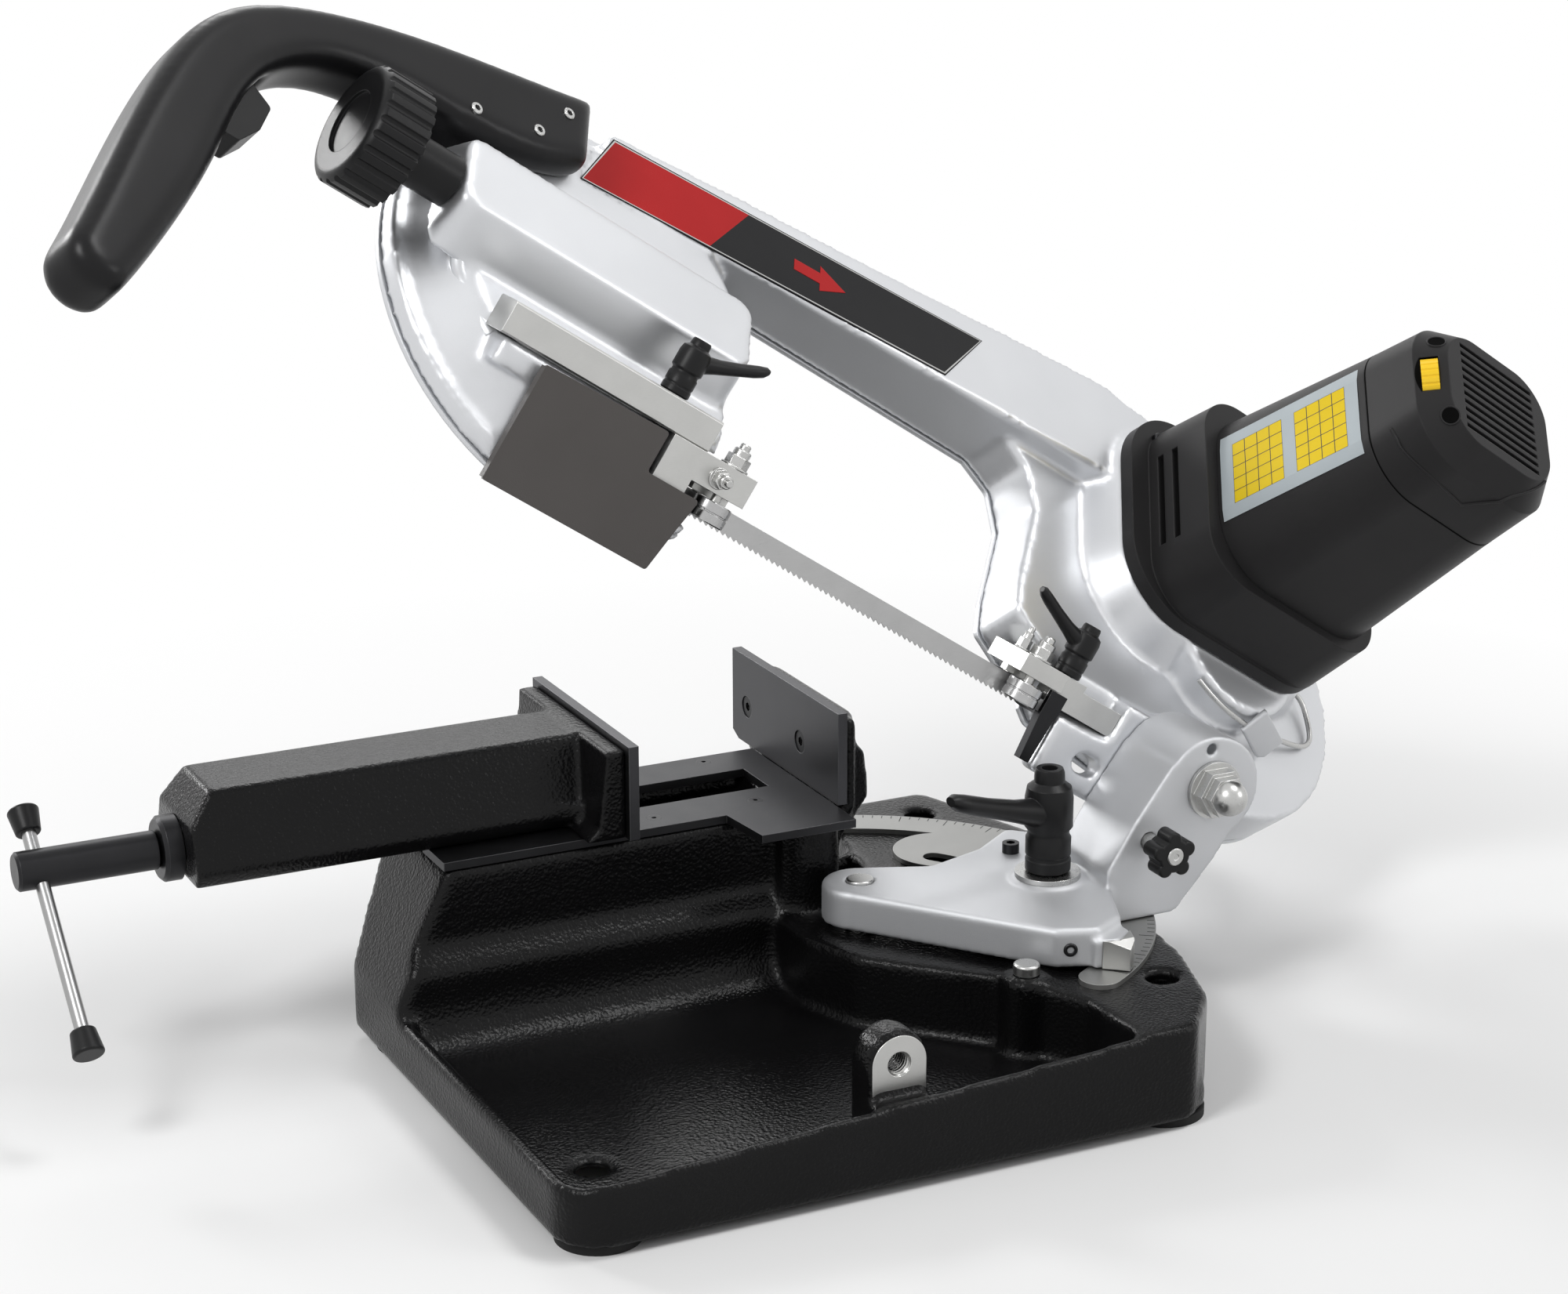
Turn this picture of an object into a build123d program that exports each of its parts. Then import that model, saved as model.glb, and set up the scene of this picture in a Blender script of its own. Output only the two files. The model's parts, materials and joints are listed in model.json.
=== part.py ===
from build123d import *
from math import cos, radians, sin, sqrt
import os

# Metal cutting band saw with a swivelling head, in millimetres.
# +X runs along the vice towards the head's pivot, +Y runs away from the operator and +Z is up.
# Values are laid out from the jaws; CENTRE moves the origin to the bench under the middle of the
# saw's bounding box. The head rests raised, as on its spring.
CENTRE = (44.5, -1.5)

# Running clearances
FIT = 0.05
GAP = 0.3

# Base casting
BASE_LENGTH = 412.0
BASE_FRONT = -197.0
BASE_BACK = 124.0
BASE_CORNER_X = 160.0
EAR_BACK = 194.0
FOOT_HEIGHT = 5.0
FOOT_R = 23.0
WALL = 8.0
TRAY_FLOOR = 18.0
RIM_LEFT = 38.0
PLATFORM_Z = 60.0
COVE_R = 24.0
CORNER_R = 26.0
BENCH_HOLE_R = 9.0
BENCH_HOLES = {"front_left": (-165.0, -130.0), "front_right": (179.0, -130.0), "rear_right": (182.0, 160.0)}
FOOT_SPOTS = [(-179.0, -170.0), (156.0, -170.0), (-178.0, 96.0), (150.0, 166.0)]
STOP_LUG_X = -13.0
STOP_LUG_Z = 66.0
STOP_LUG_R = 18.0
STOP_LUG_THICK = 22.0
STOP_LUG_BORE_R = 7.0
STOP_BOSS = (109.0, -101.0)
STOP_BOSS_R = 14.0
STOP_SCREW_R = 4.0

# Table and vice
TABLE_Z = 122.0
TABLE_THICK = 5.0
JAW_FACE_X = 65.0
JAW_OPENING = 125.0
VICE_Y = 114.0
JAW_WIDTH = 142.0
JAW_TOP = 178.0
JAW_THICK = 6.0
JAW_SCREW_SPAN = 72.0
JAW_SCREW_Z = 146.0
JAW_SCREW_R = 4.0
JAW_SCREW_HEAD_R = 6.8
SLOT_Y = 109.0
SLOT_WIDTH = 34.0
SLOT_END_X = 44.0
TABLE_LEFT = -172.0
TABLE_FRONT_WIDE = 19.0
TABLE_FRONT_NARROW = 58.0
TABLE_BACK = 157.0
TABLE_STEP_X = 5.0
TABLE_SCREWS = [(-38.0, 73.0), (27.0, 74.0), (28.0, 148.0), (-38.0, 148.0)]
TABLE_SCREW_R = 2.5
PEDESTAL_FRONT = 57.0
PEDESTAL_RIGHT = 75.0
UPRIGHT_TOP = 172.0
SLIDE_LEFT = -307.0
SLIDE_RIGHT = -82.0
SLIDE_TOP = 174.0
SLIDE_HALF_TOP = 25.0
SLIDE_HALF_LOW = 40.0
CAVITY_HALF = 17.0
CAVITY_TOP = 158.0
SCREW_Z = 136.0
SCREW_THREAD_R = 9.0
SCREW_HEAD_R = 11.0
SCREW_HEAD_LENGTH = 79.0
NUT_LEFT = -165.0
NUT_LENGTH = 46.0
NUT_HALF = 12.0
NUT_SINK = 5.0
COLLAR_R = 18.5
BAR_R = 4.0
BAR_X = -384.0
BAR_LEAN = 41.8
BAR_LOW = -114.0
BAR_HIGH = 37.0
BAR_CAP_R = 9.0
BAR_CAP_LENGTH = 15.0

# Swivel arm
SWIVEL_X = 65.0
BLADE_Y = 15.0
ARM_BOTTOM = 63.5
ARM_TOP = 86.0
ARM_BOSS_R = 22.0
SWIVEL_BOLT_R = 8.0
SCALE_THICK = 3.0
SCALE_OUTER_R = 170.0
SCALE_INNER_R = 146.0
SCALE_LOBE_R = 98.0
CLAMP_R = 108.0
CLAMP_ANGLE = -24.7
SLOT_R = 6.5
STUD_R = 6.0
CLAMP_TURN = 15.0
SWIVEL_MAX = 60.0
BRACKET_FRONT = -59.0
BARREL_R = 31.0
PIVOT_X = 255.0
PIVOT_Z = 135.0
PIVOT_R = 9.0
PLUNGER_X = 213.0
PLUNGER_Z = 110.0
PLUNGER_R = 5.0
PLUNGER_TRAVEL = 10.5
SPRING_R = 17.0
SPRING_WIRE_R = 2.0
SPRING_TURNS = 5
SPRING_DEPTH = 34.0
SPRING_INSET = 4.0
ARM_SCREWS = [(165.0, 16.0)]
ARM_SCREW_R = 3.0
POINTER_TOP = 80.0

# Head, raised by this much at rest; the blade runs just under the pivot
HEAD_RAISE = 33.7
BLADE_DROP = 7.0
BOW_TILT = 45.0
HINGE_FACE = -20.0
HINGE_BACK = -9.0

# Wheels and blade
WHEEL_R = 87.25
BLADE_WIDTH = 13.0
BLADE_THICK = 0.9
RIM_HALF = 6.8
DRIVE_X = 44.0
IDLER_X = -428.0
GUIDE_LEFT_X = -362.0
GUIDE_RIGHT_X = -92.0
TOOTH_PITCH = 4.0
TOOTH_DEPTH = 1.8
SHAFT_R = 10.0
AXLE_R = 8.0
BEARING_R = 17.0
ROLLER_R = 11.0
ROLLER_PIN_R = 3.0
ROLLER_PLAY = 0.15
ROLLER_X_LEFT = -343.0
ROLLER_X_RIGHT = -106.0
CARRIAGE_TRAVEL = 8.0
FLANGE_R = 90.5
GEAR_R = 40.0

# Bow casting
REAR_N = -15.0
COVER_THICK = 3.0
IDLER_HOUSE_R = 130.0
DOME_RIM = 7.0
DRIVE_HOUSE_R = 107.0
IDLER_CUT_X = -345.0
HANDLE_N = 20.0
HANDLE_HALF = 19.0
HANDLE_ROUND = 10.0
HANDLE_BACK = [
    (-463.0, 201.0),
    (-545.0, 179.0),
    (-630.0, 150.0),
    (-694.0, 106.0),
    (-722.0, 42.0),
    (-738.0, -34.0),
    (-747.0, -78.0),
]
HANDLE_GRIP = [
    (-716.0, -97.0),
    (-702.0, -60.0),
    (-680.0, 20.0),
    (-664.0, 78.0),
    (-630.0, 112.0),
    (-560.0, 126.0),
    (-462.0, 154.0),
]
TRIGGER_PIVOT = (-680.0, 74.0)
TRIGGER_PIN_R = 2.5
TRIGGER_PIN_HALF = 14.0
TRIGGER_HALF = 9.0
BAR_LEFT_Y = (-18.0, 4.0)
BAR_LEFT_Z = (28.0, 46.0)
BAR_LEFT_X = (-505.0, -365.0)
BAR_RIGHT_Y = (-16.0, -3.0)
BAR_RIGHT_Z = (3.0, 18.0)
BAR_RIGHT_X = (-93.0, -40.0)
CLAMP_LEFT_X = -395.0
GUARD_Y = -24.0
CLAMP_RIGHT_X = -84.0
GUIDE_STUD_R = 4.0
DIAL_X = -3.6
DIAL_V = 141.0
DIAL_N = 239.0
DIAL_LEAN = 36.9
DIAL_R = 18.0
DIAL_THICK = 10.0
DIAL_PIN_R = 3.0
PLATEAU_N = 20.0
BACKBONE_LOW = 163.0
MOTOR_X = 36.0
MOTOR_V = 139.0
FLANGE_N = 45.0
COLLAR_N = 98.0
SEAM_N = 205.0
MOTOR_END_N = 256.0
TENSION_V = 84.0
TENSION_N = 33.0
TENSION_SCREW_R = 6.0
AXLE_END_N = TENSION_N - TENSION_SCREW_R - 0.5
CARRIAGE_N = (20.5, 42.0)
KNOB_X = -612.0
KNOB_R = 34.0
KNOB_NECK = 64.0
KNOB_NECK_R = 14.0
KNOB_DEPTH = 30.0
KNOB_ROUND = 7.0
KNOB_FLUTES = 24

LEDGE_RIGHT = CLAMP_LEFT_X + 5
BLADE_RADIUS = WHEEL_R + GAP + BLADE_THICK / 2
WHEEL_V = BLADE_RADIUS
CARRIAGE_V = (TENSION_V - 15, WHEEL_V + 14)
HEAD = Pos(PIVOT_X, BLADE_Y, PIVOT_Z) * Rot(0, HEAD_RAISE, 0) * Pos(0, 0, -BLADE_DROP)
BOW = HEAD * Rot(BOW_TILT, 0, 0)


def block(x0, x1, y0, y1, z0, z1):
    return Pos((x0 + x1) / 2, (y0 + y1) / 2, (z0 + z1) / 2) * Box(x1 - x0, y1 - y0, z1 - z0)


def prism(points, z0, z1, radius=0.0):
    face = make_face(Polyline(*points, close=True))
    if radius:
        face = fillet(face.vertices(), radius)
    return Pos(0, 0, z0) * extrude(face, z1 - z0)


def prism_y(points, y0, y1, radius=0.0):
    # An outline in x and z, from y0 to y1
    return Rot(90, 0, 0) * prism(points, -y1, -y0, radius)


def prism_x(points, x0, x1, radius=0.0):
    # An outline in y and z, from x0 to x1
    return Pos(x0, 0, 0) * Plane.YZ.location * prism(points, 0, x1 - x0, radius)


def rod_z(x, y, z0, z1, r):
    return Pos(x, y, (z0 + z1) / 2) * Cylinder(r, z1 - z0)


def rod_x(x0, x1, y, z, r):
    return Pos((x0 + x1) / 2, y, z) * Rot(0, 90, 0) * Cylinder(r, x1 - x0)


def rod_y(x, y0, y1, z, r):
    return Pos(x, (y0 + y1) / 2, z) * Rot(90, 0, 0) * Cylinder(r, y1 - y0)


def round_box(x, y, width, depth, radius):
    return Pos(x, y) * RectangleRounded(width, depth, radius)


def base_outline(inset, low, high):
    half = BASE_LENGTH / 2 - inset
    front = BASE_FRONT + inset
    back = BASE_BACK - inset
    right = BASE_CORNER_X - inset
    points = [(-half, front), (right, front), (half - 16, -160), (half, -104), (half, back), (-half, back)]
    return prism(points, low, high, CORNER_R - inset)


def platform(inset, low, high):
    # The raised right side under the swivel arm, bowed out under its scale, with an ear at the back
    front = BASE_FRONT + inset
    back = EAR_BACK - inset
    points = [
        (BASE_CORNER_X - inset, front),
        (128 + inset, front),
        (124 + inset, -140),
        (98 + inset, -92),
        (40 + inset, -32),
        (26 + inset, 8),
        (26 + inset, 90 - inset),
        (108 + inset, 90 - inset),
        (126 + inset, back),
        (202 - inset, back),
        (240 - inset, 70),
        (240 - inset, 8),
        (214 - inset, -60),
        (208 - inset, -104),
        (190 - inset, -160),
    ]
    return prism(points, low, high, 9.0)


def pedestal(inset, low, high):
    # Stands behind the tray, leaning back towards the top and in from the left
    left = -BASE_LENGTH / 2 + inset
    right = PEDESTAL_RIGHT - inset
    front = PEDESTAL_FRONT + inset
    back = BASE_BACK - inset
    top_back = TABLE_BACK - 2 - inset
    side = [(left, low), (right, low), (right, high), (left + 36, high), (left, 45)]
    end = [
        (front - 12, low),
        (back, low),
        (back, 43),
        (top_back, high),
        (front, high),
        (front, 74),
        (front - 11, 62),
    ]
    return prism_y(side, BASE_FRONT, EAR_BACK) & prism_x(end, -BASE_LENGTH, BASE_LENGTH)


def pedestal_cove():
    # Hollow round the foot of the pedestal, where it meets the tray
    front = PEDESTAL_FRONT - 12
    left = -BASE_LENGTH / 2 + WALL
    top = TRAY_FLOOR + COVE_R
    cove = block(left, 40, front - COVE_R, front + 1, TRAY_FLOOR - 1, top)
    return cove - rod_x(left - 1, 41, front - COVE_R, top, COVE_R)


def fixed_jaw_upright(low):
    # Two stepped humps behind the fixed jaw, carried out to the right over the swivel arm
    left = JAW_FACE_X + JAW_THICK
    back = VICE_Y + JAW_WIDTH / 2 - 2
    front = VICE_Y - JAW_WIDTH / 2 + 3
    side = [
        (left, low - 22),
        (left, UPRIGHT_TOP),
        (left + 13, UPRIGHT_TOP),
        (left + 16, UPRIGHT_TOP - 22),
        (left + 22, UPRIGHT_TOP - 26),
        (left + 24, low),
        (left + 6, low - 22),
    ]
    web = prism_y(side, front + 14, back - 22, 2.0)
    end = [
        (front, low),
        (front + 18, low - 20),
        (back - 24, low - 20),
        (back, low),
        (back, UPRIGHT_TOP),
        (front, UPRIGHT_TOP),
    ]
    return web + prism_x(end, left, left + 9, 3.0)


def stop_lug():
    # Tapped lug on the front wall, for the rod of a cut-length stop
    left = STOP_LUG_X - STOP_LUG_R
    right = STOP_LUG_X + STOP_LUG_R
    front = BASE_FRONT + 16
    back = front + STOP_LUG_THICK
    lug = block(left, right, front, back, TRAY_FLOOR, STOP_LUG_Z)
    lug += block(left, right, BASE_FRONT + 4, front + 4, TRAY_FLOOR, 47)
    lug += rod_y(STOP_LUG_X, front, back, STOP_LUG_Z, STOP_LUG_R)
    return lug - rod_y(STOP_LUG_X, front - 1, back + 1, STOP_LUG_Z, STOP_LUG_BORE_R)


def arc_slot(radius, half_width, start, end, low, high):
    # A slot about the swivel axis, with round ends
    ring = Circle(radius + half_width) - Circle(radius - half_width)
    reach = 2 * (radius + half_width)
    middle = (start + end) / 2
    wedge = make_face(
        Polyline(
            (0, 0),
            (reach * cos(radians(start)), reach * sin(radians(start))),
            (reach * cos(radians(middle)), reach * sin(radians(middle))),
            (reach * cos(radians(end)), reach * sin(radians(end))),
            close=True,
        )
    )
    face = ring & wedge
    for angle in (start, end):
        face += Pos(radius * cos(radians(angle)), radius * sin(radians(angle))) * Circle(half_width)
    return Pos(SWIVEL_X, BLADE_Y, low) * extrude(face, high - low)


def clamp_slot(half_width, low, high):
    return arc_slot(CLAMP_R, half_width, CLAMP_ANGLE - 3, CLAMP_ANGLE + SWIVEL_MAX + 3, low, high)


def vice_channel():
    # Room under the table slot for the keeper of the sliding jaw
    top = TABLE_Z - TABLE_THICK
    left = NUT_LEFT + NUT_LENGTH + 1
    return block(left, SLOT_END_X, SLOT_Y - 27, SLOT_Y + 27, top - 10, top + 1)


def base_casting():
    low = FOOT_HEIGHT
    under_table = TABLE_Z - TABLE_THICK
    half = BASE_LENGTH / 2
    body = base_outline(0, low, TRAY_FLOOR)
    # Rim of the chip tray, rising along the front to the platform
    rim = base_outline(0, low, PLATFORM_Z) - base_outline(WALL, low - 1, PLATFORM_Z + 1)
    over_rim = [
        (-half - 1, RIM_LEFT),
        (150, PLATFORM_Z),
        (half + 1, PLATFORM_Z),
        (half + 1, ARM_TOP),
        (-half - 1, ARM_TOP),
    ]
    body += rim - prism_y(over_rim, BASE_FRONT - 1, BASE_BACK + 1)
    body += platform(0, low, PLATFORM_Z)
    body += pedestal(0, low, under_table)
    body += pedestal_cove()
    # Post under the wide end of the table
    body += prism([(30, 60), (30, 44), (38, 41), (60, 41), (68, 46), (68, 60)], low, under_table)
    body += fixed_jaw_upright(under_table)
    # The underside is open between the walls
    body -= pedestal(WALL, low - 1, under_table - 2.5 * WALL)
    body -= platform(WALL, low - 1, PLATFORM_Z - WALL)
    body -= base_outline(WALL, low - 1, TRAY_FLOOR - 6) - platform(-WALL, low - 2, TRAY_FLOOR)
    boss_x, boss_y = STOP_BOSS
    body += rod_z(boss_x, boss_y, low, PLATFORM_Z + 4, STOP_BOSS_R)
    for x, y in FOOT_SPOTS:
        body += rod_z(x, y, low, TRAY_FLOOR, FOOT_R)
    body += stop_lug()
    body += rod_z(SWIVEL_X, BLADE_Y, low, PLATFORM_Z, ARM_BOSS_R)
    body -= vice_channel()
    # Room for the arm at full swing
    corner = PEDESTAL_RIGHT + 1
    body -= block(corner - 8, corner, PEDESTAL_FRONT - 20, PEDESTAL_FRONT - 5, PLATFORM_Z, ARM_TOP)
    nut_right = NUT_LEFT + NUT_LENGTH
    nut_low = under_table - NUT_SINK
    body -= block(NUT_LEFT, nut_right, VICE_Y - NUT_HALF, VICE_Y + NUT_HALF, nut_low, under_table + 1)
    for x, y in BENCH_HOLES.values():
        body -= rod_z(x, y, low - 1, PLATFORM_Z + 20, BENCH_HOLE_R)
    body -= rod_z(SWIVEL_X, BLADE_Y, low - 1, PLATFORM_Z + 1, SWIVEL_BOLT_R)
    body -= rod_z(boss_x, boss_y, PLATFORM_Z - 20, PLATFORM_Z + 5, STOP_SCREW_R)
    body -= clamp_slot(SLOT_R + 8, PLATFORM_Z - 2 * WALL, PLATFORM_Z + 1)
    for x, y in TABLE_SCREWS:
        body -= rod_z(x, y, under_table - 14, under_table + 1, TABLE_SCREW_R)
    for y, z in jaw_screw_spots():
        body -= rod_x(JAW_FACE_X, JAW_FACE_X + 24, y, z, JAW_SCREW_R)
    return body


def jaw_screw_spots():
    middle = VICE_Y + 15
    half = JAW_SCREW_SPAN / 2
    return [(middle - half, JAW_SCREW_Z), (middle + half, JAW_SCREW_Z)]


def rubber_feet():
    feet = Part()
    for x, y in FOOT_SPOTS:
        feet += rod_z(x, y, 0, FOOT_HEIGHT, FOOT_R)
    return feet


def table_plate():
    right = JAW_FACE_X - 0.5
    low = TABLE_Z - TABLE_THICK
    points = [
        (TABLE_LEFT, TABLE_FRONT_NARROW),
        (TABLE_STEP_X - 4, TABLE_FRONT_NARROW),
        (TABLE_STEP_X, TABLE_FRONT_WIDE),
        (right, TABLE_FRONT_WIDE),
        (right, TABLE_BACK),
        (TABLE_LEFT, TABLE_BACK),
    ]
    plate = prism(points, low, TABLE_Z)
    half = SLOT_WIDTH / 2
    plate -= block(TABLE_LEFT - 1, SLOT_END_X, SLOT_Y - half, SLOT_Y + half, low - 1, TABLE_Z + 1)
    for x, y in TABLE_SCREWS:
        plate -= table_screw(x, y)
    return plate


def table_screw(x, y):
    head = Pos(x, y, TABLE_Z - 1.5) * Cone(TABLE_SCREW_R, 2 * TABLE_SCREW_R - 0.4, 3)
    return head + rod_z(x, y, TABLE_Z - TABLE_THICK - 12, TABLE_Z - 2, TABLE_SCREW_R)


def table_screws():
    screws = Part()
    for x, y in TABLE_SCREWS:
        screws += table_screw(x, y) - rod_z(x, y, TABLE_Z - 1.5, TABLE_Z + 1, 1.4)
    return screws


def jaw_plate(face, side):
    # A hardened plate whose clamping face is at `face` and whose back is towards `side`
    half = JAW_WIDTH / 2
    low = TABLE_Z + GAP
    points = [
        (VICE_Y - half, low),
        (VICE_Y + half - 8, low),
        (VICE_Y + half, low + 4),
        (VICE_Y + half, JAW_TOP),
        (VICE_Y - half, JAW_TOP),
    ]
    plate = prism_x(points, *sorted([face, face + side * JAW_THICK]))
    for y, z in jaw_screw_spots():
        plate -= rod_x(face - JAW_THICK - 1, face + JAW_THICK + 1, y, z, JAW_SCREW_R)
        plate -= rod_x(face - JAW_THICK / 2, face + JAW_THICK / 2, y, z, JAW_SCREW_HEAD_R)
    return plate


def jaw_screws(face, side):
    screws = Part()
    for y, z in jaw_screw_spots():
        middle = face + side * JAW_THICK / 2
        screw = rod_x(*sorted([face + side * 0.6, middle]), y, z, JAW_SCREW_HEAD_R)
        screw += rod_x(*sorted([middle, face + side * (JAW_THICK + 14)]), y, z, JAW_SCREW_R)
        screws += screw - hex_socket_x(face, y, z)
    return screws


def hex_socket_x(face, y, z):
    return Pos(face - 2, y, z) * Rot(0, 90, 0) * extrude(RegularPolygon(2.9, 6), 4)


def vice_slide():
    low = TABLE_Z + GAP
    face = JAW_FACE_X - JAW_OPENING - JAW_THICK
    body = prism_x(
        [
            (VICE_Y - SLIDE_HALF_LOW + 5, low),
            (VICE_Y + SLIDE_HALF_LOW - 5, low),
            (VICE_Y + SLIDE_HALF_LOW, low + 9),
            (VICE_Y + SLIDE_HALF_TOP, SLIDE_TOP),
            (VICE_Y - SLIDE_HALF_TOP, SLIDE_TOP),
            (VICE_Y - SLIDE_HALF_LOW, low + 9),
        ],
        SLIDE_LEFT,
        SLIDE_RIGHT + 4,
        4.0,
    )
    # The far end is chamfered
    body -= prism_y(
        [(SLIDE_LEFT - 1, SLIDE_TOP - 20), (SLIDE_LEFT + 14, SLIDE_TOP + 1), (SLIDE_LEFT - 1, SLIDE_TOP + 1)],
        VICE_Y - 60,
        VICE_Y + 60,
    )
    half = JAW_WIDTH / 2 - 5
    jaw = [
        (SLIDE_RIGHT - 8, low),
        (face, low),
        (face, JAW_TOP - 3),
        (SLIDE_RIGHT + 5, JAW_TOP - 3),
        (SLIDE_RIGHT, low + 8),
    ]
    body += prism_y(jaw, VICE_Y - half, VICE_Y + half)
    for side in (-1, 1):
        gusset = [
            (SLIDE_RIGHT + 2, VICE_Y + side * 20),
            (SLIDE_RIGHT + 2, VICE_Y + side * (half - 22)),
            (SLIDE_RIGHT - 12, VICE_Y + side * 40),
            (SLIDE_RIGHT - 70, VICE_Y + side * 28),
            (SLIDE_RIGHT - 70, VICE_Y + side * 20),
        ]
        body += prism(gusset, low + 6, SLIDE_TOP - 36)
    # Tongue in the table slot, with a keeper under the table
    tongue = NUT_LEFT + NUT_LENGTH + 9
    under_table = TABLE_Z - TABLE_THICK
    half = SLOT_WIDTH / 2 - GAP
    body += block(tongue, tongue + 20, SLOT_Y - half, SLOT_Y + half, under_table - 4, low + 2)
    body += block(tongue, tongue + 20, SLOT_Y - 26, SLOT_Y + 26, under_table - 9, under_table - GAP)
    front = VICE_Y - CAVITY_HALF
    body -= block(SLIDE_LEFT + 10, tongue - 2, front, front + 2 * CAVITY_HALF, low - 1, CAVITY_TOP)
    body -= rod_x(SLIDE_LEFT - 1, SLIDE_LEFT + 11, VICE_Y, SCREW_Z, SCREW_THREAD_R - 1 + FIT)
    for y, z in jaw_screw_spots():
        body -= rod_x(face - 16, face + 1, y, z, JAW_SCREW_R)
    return body


def vice_screw():
    wall = SLIDE_LEFT + 10 + GAP
    tip = NUT_LEFT + NUT_LENGTH + 3
    head_end = SLIDE_LEFT - 11
    screw = rod_x(wall, tip, VICE_Y, SCREW_Z, SCREW_THREAD_R)
    screw += rod_x(head_end, wall, VICE_Y, SCREW_Z, SCREW_THREAD_R - 1)
    head = rod_x(head_end - SCREW_HEAD_LENGTH, head_end, VICE_Y, SCREW_Z, SCREW_HEAD_R)
    screw += chamfer(head.edges().filter_by(GeomType.CIRCLE), 1.5)
    return screw - bar_location() * Cylinder(BAR_R + FIT, 60)


def bar_location():
    return Pos(BAR_X, VICE_Y, SCREW_Z) * Rot(-(90 - BAR_LEAN), 0, 0)


def thrust_collar():
    ring = rod_x(SLIDE_LEFT - 11, SLIDE_LEFT - GAP, VICE_Y, SCREW_Z, COLLAR_R)
    ring = chamfer(ring.edges().filter_by(GeomType.CIRCLE).sort_by(Axis.X)[0], 2)
    return ring - rod_x(SLIDE_LEFT - 20, SLIDE_LEFT, VICE_Y, SCREW_Z, SCREW_THREAD_R - 1)


def vice_nut():
    nut = block(
        NUT_LEFT,
        NUT_LEFT + NUT_LENGTH,
        VICE_Y - NUT_HALF,
        VICE_Y + NUT_HALF,
        TABLE_Z - TABLE_THICK - NUT_SINK,
        SCREW_Z + SCREW_THREAD_R + 4,
    )
    return nut - rod_x(NUT_LEFT - 1, NUT_LEFT + NUT_LENGTH + 1, VICE_Y, SCREW_Z, SCREW_THREAD_R + FIT)


def tommy_bar():
    return bar_location() * Pos(0, 0, (BAR_LOW + BAR_HIGH) / 2) * Cylinder(BAR_R, BAR_HIGH - BAR_LOW - 4)


def tommy_caps():
    caps = Part()
    small = BAR_CAP_R - 2
    half = BAR_CAP_LENGTH / 2
    low_cap = Pos(0, 0, BAR_LOW + half) * Cone(BAR_CAP_R, small, BAR_CAP_LENGTH)
    high_cap = Pos(0, 0, BAR_HIGH - half) * Cone(small, BAR_CAP_R, BAR_CAP_LENGTH)
    for cap in (low_cap, high_cap):
        caps += fillet(cap.edges().filter_by(GeomType.CIRCLE), 1.5)
    caps -= Pos(0, 0, (BAR_LOW + BAR_HIGH) / 2) * Cylinder(BAR_R, BAR_HIGH - BAR_LOW - 4)
    return bar_location() * caps


def scale_plate():
    middle = CLAMP_ANGLE + SWIVEL_MAX / 2
    rim_half = (SCALE_OUTER_R - SCALE_INNER_R) / 2
    rim = arc_slot(SCALE_INNER_R + rim_half, rim_half, -60, 68, 0, SCALE_THICK)
    lobe_half = (SCALE_INNER_R - SCALE_LOBE_R) / 2 + 4
    lobe = arc_slot(SCALE_INNER_R + 3 - lobe_half, lobe_half, middle - 34, middle + 34, 0, SCALE_THICK)
    plate = Pos(0, 0, PLATFORM_Z) * (rim + lobe)
    return plate - clamp_slot(SLOT_R, PLATFORM_Z - 1, PLATFORM_Z + SCALE_THICK + 1)


def stop_screw():
    x, y = STOP_BOSS
    top = PLATFORM_Z + 4
    head = rod_z(x, y, top, top + 6, 7.5)
    head = fillet(head.edges().filter_by(GeomType.CIRCLE).sort_by(Axis.Z)[-1], 1.5)
    return head + rod_z(x, y, top - 20, top + 1, STOP_SCREW_R)


def swivel_bolt():
    bolt = rod_z(SWIVEL_X, BLADE_Y, FOOT_HEIGHT, ARM_TOP - 2, SWIVEL_BOLT_R)
    top = rod_z(SWIVEL_X, BLADE_Y, ARM_TOP - 2, ARM_TOP + 1.5, SWIVEL_BOLT_R)
    return bolt + fillet(top.edges().filter_by(GeomType.CIRCLE).sort_by(Axis.Z)[-1], 1.2)


def arm_plate():
    points = [
        (49, 0),
        (127, -101),
        (150, -110),
        (172, -97),
        (188, BRACKET_FRONT),
        (232, BRACKET_FRONT),
        (232, 2),
        (182, 53),
        (151, 31),
        (113, 19),
        (75, 35),
    ]
    plate = prism(points, ARM_BOTTOM, ARM_TOP, 6.0)
    plate += rod_z(SWIVEL_X, BLADE_Y, ARM_BOTTOM, ARM_TOP, ARM_BOSS_R)
    top = plate.faces().sort_by(Axis.Z)[-1]
    return fillet(top.outer_wire().edges(), 3)


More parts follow.
